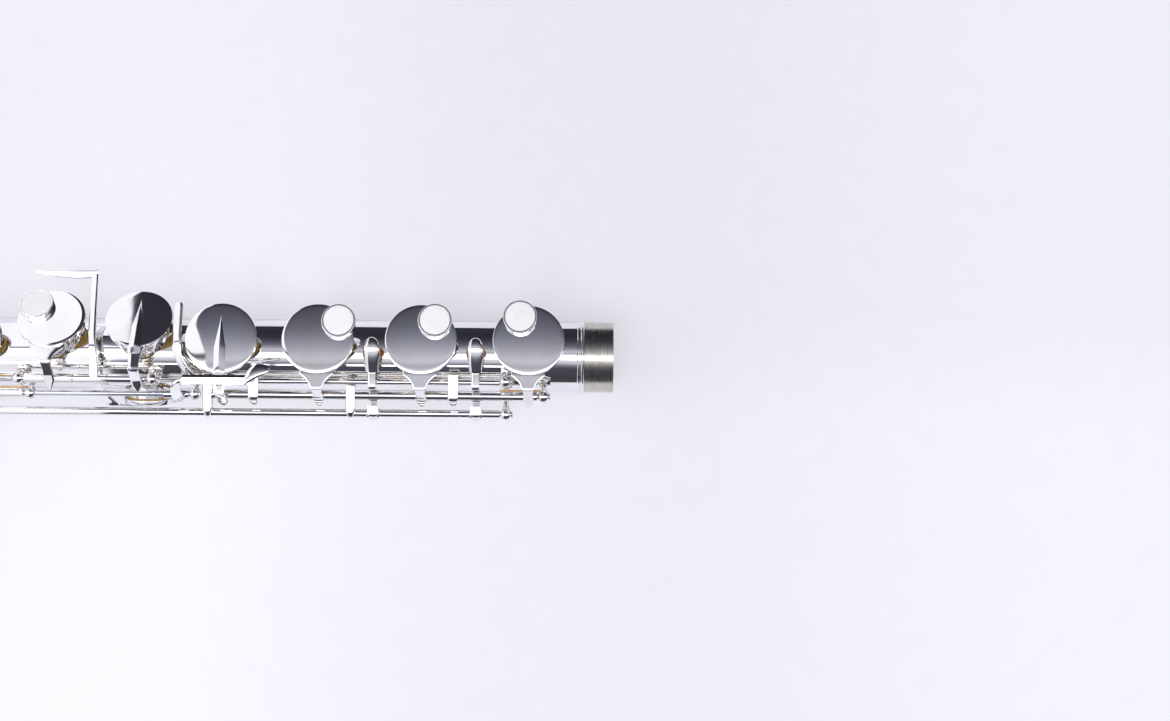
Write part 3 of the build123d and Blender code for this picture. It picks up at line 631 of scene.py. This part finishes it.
def postSurface(ground, height):
    # a turned post: stepped foot, waisted stem (its radius falls and rises as a half sine), collar and ball;
    # the steps are (radius, height) over the ground and over the stem's end
    look = postLook
    thickest = look["thickest"]
    t = np.linspace(0, 1, 9)
    low, high = ground + look["footHigh"], height - look["collarHigh"]
    stem = np.stack([thickest - look["waist"] * np.sin(np.pi * t), low + (high - low) * t], 1)
    foot, collar = look["foot"] + np.array([0, ground]), look["collar"] + np.array([0, high])
    start = -np.arccos(thickest / look["ball"])
    a = np.linspace(start, np.pi / 2, 15)
    ball = np.stack([look["ball"] * np.cos(a), height + look["ball"] * np.sin(a)], 1)
    return turned(np.concatenate([foot, stem, collar, ball]), 40)


def slottedHead(radius, height, slot):
    # a screw head in two half discs with a slot between: each is half a turned disc and its flat face
    profile = np.array([(0.0, 0.0), (radius, 0.0), (radius, height * 0.7), (radius * 0.85, height),
                        (0.0, height)])
    shell = turned(profile, 20, np.pi)
    face = np.stack([shell[:, -1], shell[:, 0]], 1)
    shift, flip = np.array([0, slot / 2, 0]), np.array([-1, -1, 1])
    return [shell + shift, face + shift, (shell + shift) * flip, (face + shift) * flip]


posts = []
for rod, ends in [(mainRod, (1, 1)), (gRod, (1, 1)), (thumbRod, (1, 1)), (trillRod, (1, 1)),
                  (counterRod, (0, 1))]:
    stations = stationsOn("ball_posts", rod, postLook["reach"])
    height = np.hypot(rod[1], rod[2])
    angle = math.degrees(math.atan2(-rod[1], rod[2]))
    ground = ribRadius if postLook["ribFrom"] < angle < postLook["ribTo"] else ringRadius
    for x in stations:
        posts += dressed([postSurface(ground, height)], outFrom(x, rod), silver)
    for x, way, wanted in [(stations[0], -1, ends[0]), (stations[-1], 1, ends[1])]:
        if wanted:
            head = {"at": np.array([x + way * postLook["screwAt"], rod[1], rod[2]]) * mm,
                    "u": np.array([0, 1.0, 0]), "v": np.array([0, 0, 1.0]), "w": np.array([way * 1.0, 0, 0])}
            halves = slottedHead(postLook["screw"], postLook["screwHigh"], postLook["slot"])
            posts += dressed(halves, head, steel)
makePiece("ballPosts", posts, "body_joint", ["ball_posts"])

plateLook = {"half": 1.93, "thick": 1.5, "stem": 1.15, "above": 2.9, "lift": 2.3, "slope": 0.33, "point": 6.4,
             "blockPoint": 4.3, "past": 1.65, "block": 3.6, "reach": 2.6, "spread": 0.9, "over": 0.4,
             "blockHigh": 2.9, "blockTip": (-0.35, -1.7)}


def platePost(x, upper, lower, foot, block=0.0):
    # a plate over two rods, square at its upper end and pointed at its lower one, on a stem that stands on
    # the tube or the rib and spreads into a foot by a squared rise; a block is so thick that the rods pass
    # through it, and its top lies at a fixed slope
    look = plateLook
    first, last = np.array(upper), np.array(lower)
    run = (last - first) / np.hypot(*(last - first))
    out = np.array([run[1], -run[0]])
    out = out * np.sign(out @ (first + last))
    if block:
        start = first + np.array([look["above"] + look["over"], look["blockHigh"] - block / 2])
        endY = last[0] - look["past"]
        end = np.array([endY, start[1] - look["slope"] * (start[0] - endY)])
        corners = [start, end, end + look["blockTip"]]
    else:
        corners = [first - run * look["above"] + out * (look["lift"] - 0.5), first + out * (look["lift"] - 0.2),
                   last + run * 1.0 + out * (look["lift"] + 0.3), last + run * 3.4 - out * 0.8,
                   last + run * 3.6 - out * 3.0]
    path, wanted = spaced(rounded(corners, 0.7, 8), 60)
    tip = wanted[-1] - wanted
    point = look["blockPoint"] if block else look["point"]
    wide = look["half"] * np.clip(tip / point, 0.02, 1) ** 0.6
    deep = look["thick"] + (block - look["thick"] if block else 0) * np.clip((tip - 1.5) / 1.4, 0, 1)
    saddle = sweptAt(x, path, wide, deep * np.clip(tip / 1.2, 0.2, 1), 3.0, 36)
    middle = (first + last) / 2 + out * 1.2
    base = middle / np.hypot(*middle) * foot
    tall = np.linspace(0, 1, 14)
    widths = look["stem"] + look["spread"] * np.clip((tall - 0.75) / 0.25, 0, 1) ** 2
    return [saddle, sweptAt(x, middle + (base - middle) * tall[:, None], widths, 2 * widths, 2.4, 24)]


saddles = []
for x in stationsOn("plate_posts", mainRod, plateLook["reach"]):
    saddles += platePost(x, counterRod[1:], mainRod[1:], ribRadius)
makePiece("platePosts", dressed(saddles, flute, silver), "body_joint", ["plate_posts"])
saddles = []
for x in stationsOn("double_posts", mainRod, plateLook["reach"]):
    saddles += platePost(x, mainRod[1:], trillRod[1:], ringRadius, plateLook["block"])
makePiece("doublePosts", dressed(saddles, flute, silver), "body_joint", ["double_posts"])

ringLook = {"bead": 0.85, "second": 0.35, "groove": 0.12, "segments": 128}
left, right = [corner[0] for corner in boxOf("foot_ring")]
inner = ringRadius
a = np.linspace(-np.pi / 2, np.pi / 2, 9)
width = (right - left) / 2
bead = np.stack([right - width * 0.5 + width * 0.5 * np.sin(a),
                 inner + 0.15 + (ringLook["bead"] - 0.15) * np.cos(a)], 1)
small = np.stack([left + width * 0.45 + width * 0.45 * np.sin(a),
                  inner + 0.1 + ringLook["second"] * np.cos(a)], 1)
profile = np.concatenate([[(left, inner)], small, [(left + width, inner + ringLook["groove"])], bead,
                          [(right, inner), (left, inner)]])
beads = turnedAlong(profile, segments=ringLook["segments"])
makePiece("footRing", dressed([beads], flute, silver), "body_joint", ["foot_ring"])

start, end = [corner[0] for corner in boxOf("foot_tenon")]
tenonPoints = nodePoints("foot_tenon") / mm
reach = np.hypot(*tenonPoints.T[1:])
tenonOuter, tenonInner, liner = reach.max(), reach.min(), reach[tenonPoints[:, 0] < -1].max()
profile = rounded([(start, tenonInner), (start, liner), (0.0, liner), (0.0, tenonOuter),
                   (end - 0.05, tenonOuter), (end, tenonOuter - 0.12), (end, tenonInner), (start, tenonInner)],
                  0.08, 4)
sleeve = turnedAlong(profile, segments=ringLook["segments"])
makePiece("tenonSleeve", dressed([sleeve], flute, nickel), "body_joint", ["foot_tenon"])
print("posts and fittings made")


# trill touches

trillLook = {"half": 3.05, "end": 1.9, "thick": 3.0, "edge": 0.3, "stem": 1.45, "strap": 1.2, "lug": 2.05,
             "corkHalf": 3.3, "corkThick": 0.9, "tube": 1.55, "collar": 1.95, "collarHalf": 2.4,
             "bulb": [(0.0, -0.9), (-3.6, 0.3), (-7.6, -2.4), (-12.0, -5.6)],
             "strapTop": [(-9.0, -4.0), (-11.5, -5.6)], "strapUnder": [(1.15, 4.7), (3.7, -2.4), (1.0, -3.1)],
             "lugPath": [(2.2, 2.5), (-1.1, 1.7), (-1.9, -0.9), (-1.5, -4.4)]}


def trillTouch(x, top):
    # an almond shaped touch that falls toward the rods, its half width a quarter ellipse at the top and a
    # falling cosine below; a strap goes on under it, turns down behind the main rod and comes out below it;
    # the Look gives each path as steps from the touch's top or from a rod
    look = trillLook
    rod = trillRod[1:]
    bulb = bezier(np.array(top) + look["bulb"], 44)
    share = runLength(bulb)
    share = share / share[-1]
    rise = np.sqrt(np.clip(1 - (1 - np.clip(share / 0.38, 0, 1)) ** 2, 0, 1))
    fall = 0.5 + 0.5 * np.cos(np.pi * np.clip((share - 0.45) / 0.95, 0, 1))
    wide = rise * (look["end"] + (look["half"] - look["end"]) * fall)
    thick = look["edge"] + rise * (look["thick"] - look["edge"]) * (0.55 + 0.45 * fall)
    almond = sweptAt(x, bulb, wide, thick, 2.05, 36)
    strap = rounded([*(np.array(top) + look["strapTop"]), *(mainRod[1:] + look["strapUnder"]), rod], 1.5, 8)
    straps = sweptAt(x, strap, look["stem"], look["strap"], 4.0, 24)
    lug = rounded(rod + look["lugPath"], 0.6, 9)
    t = np.linspace(0, 1, len(lug))
    lugWide = look["lug"] * np.clip((1 - t) / 0.75, 0.03, 1) ** 0.7
    spade = sweptAt(x, lug, lugWide, look["strap"] * np.clip((1 - t) / 0.2, 0.2, 1), 3.0, 24)
    corkWide = wide[2:26] * (look["corkHalf"] / look["half"]) + 0.15
    cover = sweptAt(x, bulb[2:26] - (0.25, 1.1), corkWide, look["corkThick"], 2.6, 24)
    return [almond, straps, spade], cover


smallCupLook = {"dome": 0.45, "top": 2.5, "skirt": 0.25}
smallArmLook = {"start": 1.95, "rise": 1.9, "thick": 1.1, "thicker": 0.5, "half": 1.5, "swell": 1.6,
                "end": 0.5}


def smallCup(seat, rod):
    # a small cup on an arm that leaves it thin, arches over the tone hole's rim and thickens to its rod
    look = smallArmLook
    radius = seat["radius"] + cupLook["overPad"]
    far = np.sign(rod[0])
    span = np.linspace(0, 1, 24)
    start, end = np.array([0.3 * radius * far, look["start"]]), np.array([rod[0] - 1.2 * far, rod[1] + 0.2])
    arch = np.array([0, look["rise"]]) * np.sin(np.pi * span)[:, None]
    middle = start + (end - start) * span[:, None] + arch
    wide = look["half"] + look["swell"] * np.exp(-((span - 0.16) / 0.2) ** 2) + look["end"] * span ** 3
    thick = look["thick"] + look["thicker"] * span
    return [cupSurface(radius, smallCupLook), sweptAt(0.0, middle, wide, thick, 3.0, 28)]


def touchTop(node):
    # the far end of a trill touch, from the node's own points
    points = nodePoints(node) / mm
    over = points[(points[:, 1] > -12) & (points[:, 2] > 18)]
    return (over[:, 0].min() + over[:, 0].max()) / 2, (over[:, 1].max() + 1.6, over[:, 2].max())


def collarOn(x, rod):
    # a short turned collar with rounded ends, along a rod
    start, end, radius = x - trillLook["collarHalf"], x + trillLook["collarHalf"], trillLook["collar"]
    profile = rounded([(start, 0.0), (start, radius), (end, radius), (end, 0.0)], 0.35)
    return turnedAlong(profile, rod[1], rod[2], 40)


for lever, node, name, body in [
        ("lever_trill_d", "key_trill_d", "trillD", "trill_d_key"),
        ("lever_trill_d_sharp", "key_trill_d_sharp", "trillDSharp", "trill_d_sharp_key")]:
    x, top = touchTop(lever)
    solids, cover = trillTouch(x, top)
    solids.append(collarOn(x, trillRod))
    solids += [hingeTube(part, "trill_d_press", trillLook["tube"]) for part in (lever, node)]
    pad = node.replace("key", "pad")
    seat = padSeat(pad)
    surfaces = dressed(solids, flute, silver)
    surfaces += dressed(smallCup(seat, localRod(seat, "trill_d_press")), seat, silver)
    makePiece(name, surfaces, body, [lever, node])
    makePiece(name + "Skin", dressed([padSurface(seat["radius"])], seat, skin), body, [pad])
    makePiece(name + "Cork", dressed([cover], flute, cork), body)
print("trill touches made")


# G sharp key and thumb keys

gSharpLook = {"base": 1.6, "arm": 1.3, "thick": 1.3, "plate": 1.75, "tip": 0.85, "lean": 3.6, "tilt": 0.1,
              "side": (0.0, 0.951, 0.309), "padRadius": 8.5, "overPad": 0.6, "cup": {"dome": 0.6, "skirt": 0.3},
              "arch": [(0.0, 1.0, 30), (-0.9, 0.9, 2), (-1.6, 1.0, -25)],
              "limb": [(0.0, 19.4, 45), (0.0, 16.2, 63), (0.6, 16.2, 84), (4.0, 19.6, 106)]}


def aroundBore(radius, angle):
    # (y, z) at a distance from the bore axis, by the angle from straight up toward the player
    return -radius * math.sin(math.radians(angle)), radius * math.cos(math.radians(angle))


def gSharpLever():
    # a strap that arches over the tube from the rod to the far side, by stops of (step along the flute,
    # height, angle), and a leaf plate along the tube whose half width grows as a sine and then thins to its
    # tip
    look = gSharpLook
    low, high = boxOf("key_g_sharp")
    start, end = tubeSpan("key_g_sharp", "g_sharp_press")
    y, z = gRod[1:]
    x, reach = (start + end) / 2 + 1.5, high[1] - 0.2
    far = x - look["lean"] + 0.4
    arch = high[2] - 0.75
    points = [(x + step, *aroundBore(arch + over, turn)) for step, over, turn in look["arch"]]
    points = [(x, y - 0.6, z + 1.0), *points, (far, reach, 13.8)]
    path = rounded(points, 5.0, 12)
    share = np.linspace(0, 1, len(path))
    wide = look["base"] + (look["arm"] - look["base"]) * share
    strap = swept(path, (1.0, 0, look["tilt"]), wide, look["thick"], 4.0, 24)
    t = np.linspace(0, 1, 44)
    plate = np.array([far + 1.3, reach - 1.7, 14.15]) + (low[0] - far - 1.3) * t[:, None] * alongTube
    half = look["arm"] + (look["plate"] - look["arm"]) * np.sin(np.pi * np.clip(t / 0.45, 0, 1) / 2)
    half = half + (look["tip"] - look["plate"]) * np.clip((t - 0.3) / 0.7, 0, 1) ** 1.3
    plate = plate + np.array(look["side"]) * (look["plate"] - half)[:, None]
    half = half * np.sqrt(np.clip(1 - np.clip((t - 0.97) / 0.03, 0, 1) ** 2, 0.05, 1))
    leaf = swept(plate, look["side"], half, look["thick"] * (1 - 0.4 * t), 4.0, 26)
    return [strap, leaf]


def gSharpLimb(seat):
    # a strap from the rod down between the main rod and the tube, spreading onto the back of the cup, by
    # stops of (step along the flute, distance from the bore axis, angle)
    start, end = tubeSpan("key_g_sharp", "g_sharp_press")
    low = seat["at"] / mm
    x = start + (end - start) * 0.5
    points = [(x + step, *aroundBore(radius, turn)) for step, radius, turn in gSharpLook["limb"]]
    points.append((low[0] - 2.5, *aroundBore(20.4, 114)))
    path = rounded(points, 3.0, 12)
    share = np.linspace(0, 1, len(path))
    return swept(path, (0.94, 0.15, -0.3), 2.3 + 0.5 * share, 1.3, 3.2, 26)


seat = padSeat("pad_g_sharp")
gSharpCup = cupSurface(seat["radius"] + gSharpLook["overPad"], gSharpLook["cup"])
tube = hingeTube("key_g_sharp", "g_sharp_press")
surfaces = dressed([gSharpCup], seat, silver)
surfaces += dressed(gSharpLever() + [gSharpLimb(seat), tube], flute, silver)
makePiece("gSharpKey", surfaces, "g_sharp_key", ["key_g_sharp"])
gSharpPad = padSurface(gSharpLook["padRadius"])
makePiece("gSharpSkin", dressed([gSharpPad], seat, skin), "g_sharp_key", ["pad_g_sharp"])

thumbLook = {"neck": 1.9, "thick": 1.5, "sink": 1.3, "lift": 1.6, "widestAt": 0.74, "spread": 0.24}


def thumbTouch(node):
    # a spoon shaped touch round the back of the tube: the half width is the neck's, plus a bell curve
    # where the thumb lies, and the end is a quarter ellipse
    look = thumbLook
    points = nodePoints(node) / mm
    far = points[points[:, 2] < thumbRod[2] - 9]
    x, widest = (far[:, 0].min() + far[:, 0].max()) / 2, np.ptp(far[:, 0]) / 2
    angle = np.degrees(np.arctan2(-far[:, 1], far[:, 2]))
    reach = np.hypot(far[:, 1], far[:, 2])
    start = math.degrees(math.atan2(-thumbRod[1], thumbRod[2]))
    turnTo = np.linspace(start + 6, angle.max() if angle.max() > start else 170.0, 48)
    outer = reach.max() - look["sink"]
    distance = np.interp(turnTo, [start, start + 22], [np.hypot(*thumbRod[1:]) + look["lift"], outer])
    turn = np.radians(turnTo)
    path = np.stack([-distance * np.sin(turn), distance * np.cos(turn)], 1)
    t = np.linspace(0, 1, len(path))
    wide = look["neck"] + (widest - look["neck"]) * np.exp(-((t - look["widestAt"]) / look["spread"]) ** 2)
    wide = wide * np.sqrt(np.clip(1 - np.clip((t - 0.72) / 0.28, 0, 1) ** 2, 0.0004, 1))
    thick = look["thick"] * np.clip((1 - t) / 0.05, 0.2, 1) ** 0.5
    return sweptAt(x, path, wide, thick, 2.6, 32)


for node, name, body, joint in [
        ("key_thumb", "thumbKey", "thumb_key", "thumb_press"),
        ("lever_thumb_b_flat", "thumbBFlatLever", "thumb_b_flat_lever", "thumb_b_flat_press")]:
    surfaces = dressed([thumbTouch(node), hingeTube(node, joint)], flute, silver)
    if node == "key_thumb":
        seat = padSeat("pad_thumb")
        surfaces += dressed(smallCup(seat, localRod(seat, joint)), seat, silver)
        makePiece("thumbSkin", dressed([padSurface(seat["radius"])], seat, skin), body, ["pad_thumb"])
    makePiece(name, surfaces, body, [node])
print("G sharp and thumb keys made")


# side levers

leafLook = {"length": 13.0, "half": 3.6, "turn": 37.0, "back": 0.7, "fall": 0.7, "drop": 0.48, "barHalf": 1.75,
            "barThick": 1.7, "hookEnd": [(0.9, -2.8, 1.2), (0.9, -2.2, -3.2)],
            "hook": [(6.2, -0.2, -0.1), (2.2, 0.1, 0.0), (-0.2, -0.8, -1.2), (0.2, -3.8, -7.6)]}


def roofBar(start, end, half, thick, look):
    # a straight bar whose top is two facets: a narrow one that tips back and a wide one that tips forward
    top = thick / 2
    section = np.array([(-half, -top), (-half, top - look["fall"]), (half - look["back"] * half, top),
                        (half, top - look["drop"]), (half, -top), (-half, -top)])
    x = np.array([start[0], start[0], end[0], end[0]])
    scale = np.array([0.0, 1.0, 1.0, 0.0])
    y = start[1] + scale[:, None] * section[None, :, 0]
    z = start[2] + scale[:, None] * section[None, :, 1]
    return np.stack([x[:, None] + 0 * y, y, z], -1)


def bFlatLever():
    # a willow leaf touch, a straight roofed bar over the posts, and a hook that wraps down to the main rod
    look = leafLook
    lever = boxOf("lever_b_flat")
    foot, high = lever[1][0], lever[1][2] - 0.75
    tube = tubeSpan("lever_b_flat", "b_flat_press")
    x, barY = tube[0] + 5.4, mainRod[1] + 1.35
    barEnd = np.array([foot - 7.4, barY, high])
    bar = roofBar(np.array([x + 4.2, barY, high]), barEnd, look["barHalf"], look["barThick"], look)
    turn = math.radians(look["turn"])
    along = np.array([math.cos(turn), math.sin(turn), 0.06])
    across = np.array([-math.sin(turn), math.cos(turn), 0])
    t = np.linspace(0, 1, 40)
    line = barEnd + np.array([-1.9, -1.2, 0.1]) + along * look["length"] * 0.84 * t[:, None]
    line = line + across * (1.1 * np.sin(np.pi * t) - 0.4)[:, None]
    line = line - np.array([0, 0, 1.0]) * (0.9 * t ** 3)[:, None]
    willow = np.sin(np.pi * np.clip(0.08 + 0.92 * t, 0.02, 0.985)) ** 0.42
    wide = look["half"] * (0.36 + 0.64 * t) * willow
    leaf = swept(line, across, wide, 0.5 + 1.8 * np.sin(np.pi * np.clip(t, 0.02, 0.98)) ** 0.6, 2.05, 30)
    steps = np.array([x, barY, high]) + look["hook"]
    hook = bezier([*steps, *(np.array([x, *mainRod[1:]]) + look["hookEnd"])], 38)
    t = np.linspace(0, 1, 38)
    taper = np.clip((1 - t) / 0.2, 0, 1) ** 0.6
    hooks = swept(hook, (0.94, 0.34, 0), 0.1 + (1.6 + 0.5 * t) * taper, 0.2 + 1.2 * taper, 3.4, 26)
    return [bar, leaf, hooks, hingeTube("lever_b_flat", "b_flat_press")]


makePiece("bFlatLever", dressed(bFlatLever(), flute, silver), "b_flat_key", ["lever_b_flat"])

strapLook = {"tilt": 0.2, "half": 1.65, "thick": 1.3, "bend": 3.4, "tube": 1.1}


def splitELever():
    # a thin tube along the stack, and a strap that leaves it beside the lower G cup, runs straight over the
    # tube and has a round end; it is tipped a little toward the head
    look = strapLook
    y, z = counterRod[1:]
    start = tubeSpan("lever_split_e", "split_e_press")[0]
    low, high = boxOf("lever_split_e")
    x = low[0] + 1.6
    points = [(start + 7.0, y - 0.4, z + 0.6), (start + 3.4, y + 0.4, z + 2.2),
              (x + 2.6, y + 3.4, high[2] - 5.0), (x, y + 8.0, high[2] - 2.6), (x, -1.5, high[2] - 1.2),
              (x, high[1] - 1.2, high[2] - 0.75), (x, high[1], high[2] - 1.1)]
    path, wanted = spaced(rounded(points, look["bend"], 9), 60)
    tip = wanted[-1] - wanted
    wide = look["half"] * np.sqrt(np.clip(1 - np.clip(1 - tip / look["half"], 0, 1) ** 2, 0.001, 1))
    wide = wide * (0.8 + 0.2 * np.clip(wanted / 6, 0, 1))
    thick = look["thick"] * np.clip(tip / 0.7, 0.25, 1) ** 0.5
    strap = swept(path, (1.0, 0, look["tilt"]), wide, thick, 3.0, 28)
    return [strap, hingeTube("lever_split_e", "split_e_press", look["tube"])]


makePiece("splitELever", dressed(splitELever(), flute, silver), "split_e_lever", ["lever_split_e"])
print("levers made")


# floor, light and camera

# the camera's glow on the floor is painted light, brighter toward both ends and toward the player's side
floorLook = {"size": 6.0, "colour": "F1F0F7", "fibre": "ECEBF2", "fibres": 90.0, "keep": 0.35,
             "paintedGlow": (0.53, 0.53, 0.56, 1.0), "paintedReflectionDark": 0.06, "paintedReflectionDarkY": (-0.108, -0.084),
             "asideX": (0.02, 0.2), "aside": 1.12, "nearY": (-0.03, 0.03), "near": 1.08}


def paperFloor():
    # matt white sweep paper: the camera sees a third of its own shaded colour over a painted glow, which is
    # brighter toward the player's side and to both ends as painted light, so shadows still fall on it;
    # reflections find it darkened beyond its near edge, a painted reflection shade
    look = floorLook
    material, tree, place = newMaterial("mattSweepPaperPaintedGlow")
    fibre = addNode(tree, "ShaderNodeTexNoise", links={"Vector": place, "Scale": look["fibres"], "Detail": 5.0})
    tint = ramp(tree, (fibre, "Fac"), [(0.3, look["fibre"]), (0.7, look["colour"])])
    path = addNode(tree, "ShaderNodeLightPath")
    axes = addNode(tree, "ShaderNodeSeparateXYZ", links={"Vector": place})
    # painted reflection shade: only rays reflected off the metal see the floor go dark beyond its near edge;
    # the camera and diffuse light see it unchanged
    paintedReflectionFactor = remapped(tree, (axes, "Y"), look["paintedReflectionDarkY"], (look["paintedReflectionDark"], 1.0))
    reflected = addNode(tree, "ShaderNodeMix", links={0: (path, "Is Glossy Ray"), 2: 1.0, 3: paintedReflectionFactor})
    level = addNode(tree, "ShaderNodeMix", {"data_type": "RGBA"},
                    {0: (path, "Is Camera Ray"), 6: (reflected, 0), 7: grey(look["keep"])})
    paper = multiplied(tree, tint, (level, 2))
    # painted light: the camera's glow is raised toward both ends of the flute and toward the player's side
    aside = addNode(tree, "ShaderNodeMath", {"operation": "ABSOLUTE"}, {0: (axes, "X")})
    paintedEndsGlow = remapped(tree, (aside, 0), look["asideX"], (1.0, look["aside"]))
    paintedNearGlow = remapped(tree, (axes, "Y"), look["nearY"], (look["near"], 1.0))
    shade = mathNode(tree, "MULTIPLY", paintedEndsGlow, paintedNearGlow)
    paintedGlow = mathNode(tree, "MULTIPLY", shade, (path, "Is Camera Ray"))
    return finished(material, {"Roughness": 0.9, "Specular IOR Level": 0.1, "Emission Color": look["paintedGlow"],
                               "Base Color": paper, "Emission Strength": paintedGlow})


lowest = cadBox[0][2]
bpy.ops.mesh.primitive_plane_add(size=floorLook["size"], location=(0, 0, lowest))
floor = bpy.context.object
floor.name = "floor"
floor.data.materials.append(paperFloor())

cameraLook = {"aim": (0.0003, -0.00125, 0.0), "elevation": 73.0, "distance": 0.752, "across": 33.0,
              "roll": 0.47, "nearest": 0.01}
cameraData = bpy.data.cameras.new("camera")
cameraData.angle = math.radians(cameraLook["across"])
camera = addObject("camera", cameraData)
rise = math.radians(cameraLook["elevation"])
aim = np.array(cameraLook["aim"])
camera.location = aim + cameraLook["distance"] * np.array([0, -math.cos(rise), math.sin(rise)])
camera.rotation_euler = (math.radians(90 - cameraLook["elevation"]), 0, 0)
camera.rotation_euler.rotate_axis("Z", math.radians(cameraLook["roll"]))
cameraData.clip_start = cameraLook["nearest"]
bpy.context.scene.camera = camera

# the studio: bright and dark panels round the flute, given by an angle a from straight up toward the player's
# side; the right set lies far away, and the left set on a curved panel over the head end

panelLook = {"radius": 321.0, "far": -2600.0, "from": -112.0, "to": 110.0,
             "edge": [(-112, -240), (-43, -240), (-40, -274), (-18, -274), (0, -238), (30, -233), (40, -252),
                      (110, -252)]}
studioLook = {
    "right": [(-180, 0.8), (-100, 0.6), (-96, 0.48), (-90, 0.04), (-60, 0.03), (-42, 0.042), (-35, 0.06),
              (-28, 0.092), (-24, 0.11), (-21, 0.135), (-18, 0.16), (-14, 0.215), (-11, 0.27), (-8, 0.34),
              (-4, 0.46), (-1, 0.57), (2, 0.66), (5, 0.44), (9, 0.72), (12, 1.0), (14.5, 4.0), (24.5, 4.0),
              (28, 0.85), (31, 0.8), (35, 0.7), (39, 0.56), (43, 0.33), (48, 0.17), (56, 0.08), (100, 0.05),
              (113, 0.2), (117, 0.87)],
    "left": [(-180, 0.8), (-112, 0.9), (-104, 1.15), (-1.2, 1.15), (0, 0.12), (2.4, 0.12), (4, 1.15),
             (15.5, 4.0), (23.5, 4.0), (26, 1.15), (46, 1.1), (60, 0.9), (80, 1.0), (110, 0.9), (180, 0.8)],
    "scale": 4.0, "tint": "F6F7FF", "seen": "F0F0F7",
}


def coolGrey(bright):
    # dark parts of a studio look bluer: the shift fades as an exponential of brightness
    shade = math.exp(-bright / 0.35)
    return (bright * (1 - 0.08 * shade), bright * (1 - 0.05 * shade), bright * (1 + 0.27 * shade), 1.0)


def bandRamp(tree, turn, bands):
    # a band ramp: each stop is (angle in degrees, brightness), and a fixed scale holds brightness below one
    stops = []
    for angle, bright in bands:
        colour = tuple(part / studioLook["scale"] for part in coolGrey(bright)[:3])
        stops.append(((angle + 180) / 360, (*colour, 1.0)))
    return ramp(tree, turn, stops)


def angleTurn(tree, place):
    # the angle a of a place or ray, as a share of the full circle
    axes = addNode(tree, "ShaderNodeSeparateXYZ", links={"Vector": place})
    minusY = mathNode(tree, "MULTIPLY", (axes, "Y"), -1.0)
    angleA = mathNode(tree, "ARCTAN2", minusY, (axes, "Z"))
    return remapped(tree, angleA, (-math.pi, math.pi), (0.0, 1.0), {"clamp": True})


def studioBands(tree, place, bands):
    return multiplied(tree, bandRamp(tree, angleTurn(tree, place), bands), linear(studioLook["tint"]))


def litCloth():
    # a lit panel of cloth: its brightness follows the angle round the flute
    material, tree, place = newMaterial("litPanelCloth")
    cloth = studioBands(tree, place, studioLook["left"])
    return finished(material, {"Base Color": grey(0.0), "Roughness": 1.0, "Specular IOR Level": 0.0,
                               "Emission Color": cloth, "Emission Strength": studioLook["scale"]})


def lightPanel():
    # a curved panel over the head end, part of a cylinder about the bore axis, with a stepped near edge
    look = panelLook
    a = np.linspace(look["from"], look["to"], 400)
    near = np.interp(a, *np.array(look["edge"]).T)
    x = np.linspace(near, near * 0 + look["far"], 3)
    turn = np.radians(a)
    grid = np.stack([x, 0 * x - look["radius"] * np.sin(turn), 0 * x + look["radius"] * np.cos(turn)], -1)
    return joinGrids("lightPanel", [(grid * mm, litCloth())])


world = bpy.data.worlds.new("studio")
bpy.context.scene.world = world
world.use_nodes = True
tree = world.node_tree
background = tree.nodes["Background"]
look = studioLook
ray = addNode(tree, "ShaderNodeTexCoord")
bands = studioBands(tree, (ray, "Generated"), look["right"])
path = addNode(tree, "ShaderNodeLightPath")
seen = addNode(tree, "ShaderNodeBackground", links={"Color": linear(look["seen"]), "Strength": 1.0})
mixed = addNode(tree, "ShaderNodeMixShader",
                links={0: (path, "Is Camera Ray"), 1: (background, 0), 2: (seen, 0)})
setInputs(tree, background, {"Color": bands, "Strength": look["scale"]})
setInputs(tree, tree.nodes["World Output"], {"Surface": (mixed, 0)})

keyLook = {"energy": 0.95, "angle": 24.0, "tilt": 34.0, "turn": -14.0}
keyData = bpy.data.lights.new("keyLight", "SUN")
keyData.energy = keyLook["energy"]
keyData.angle = math.radians(keyLook["angle"])
keyLight = addObject("keyLight", keyData)
keyLight.rotation_euler = (math.radians(keyLook["tilt"]), 0, math.radians(keyLook["turn"]))
keyLight.visible_glossy = False

panel = lightPanel()
panel.visible_camera = False
bpy.context.scene.view_settings.view_transform = "Standard"
print("stage ready")
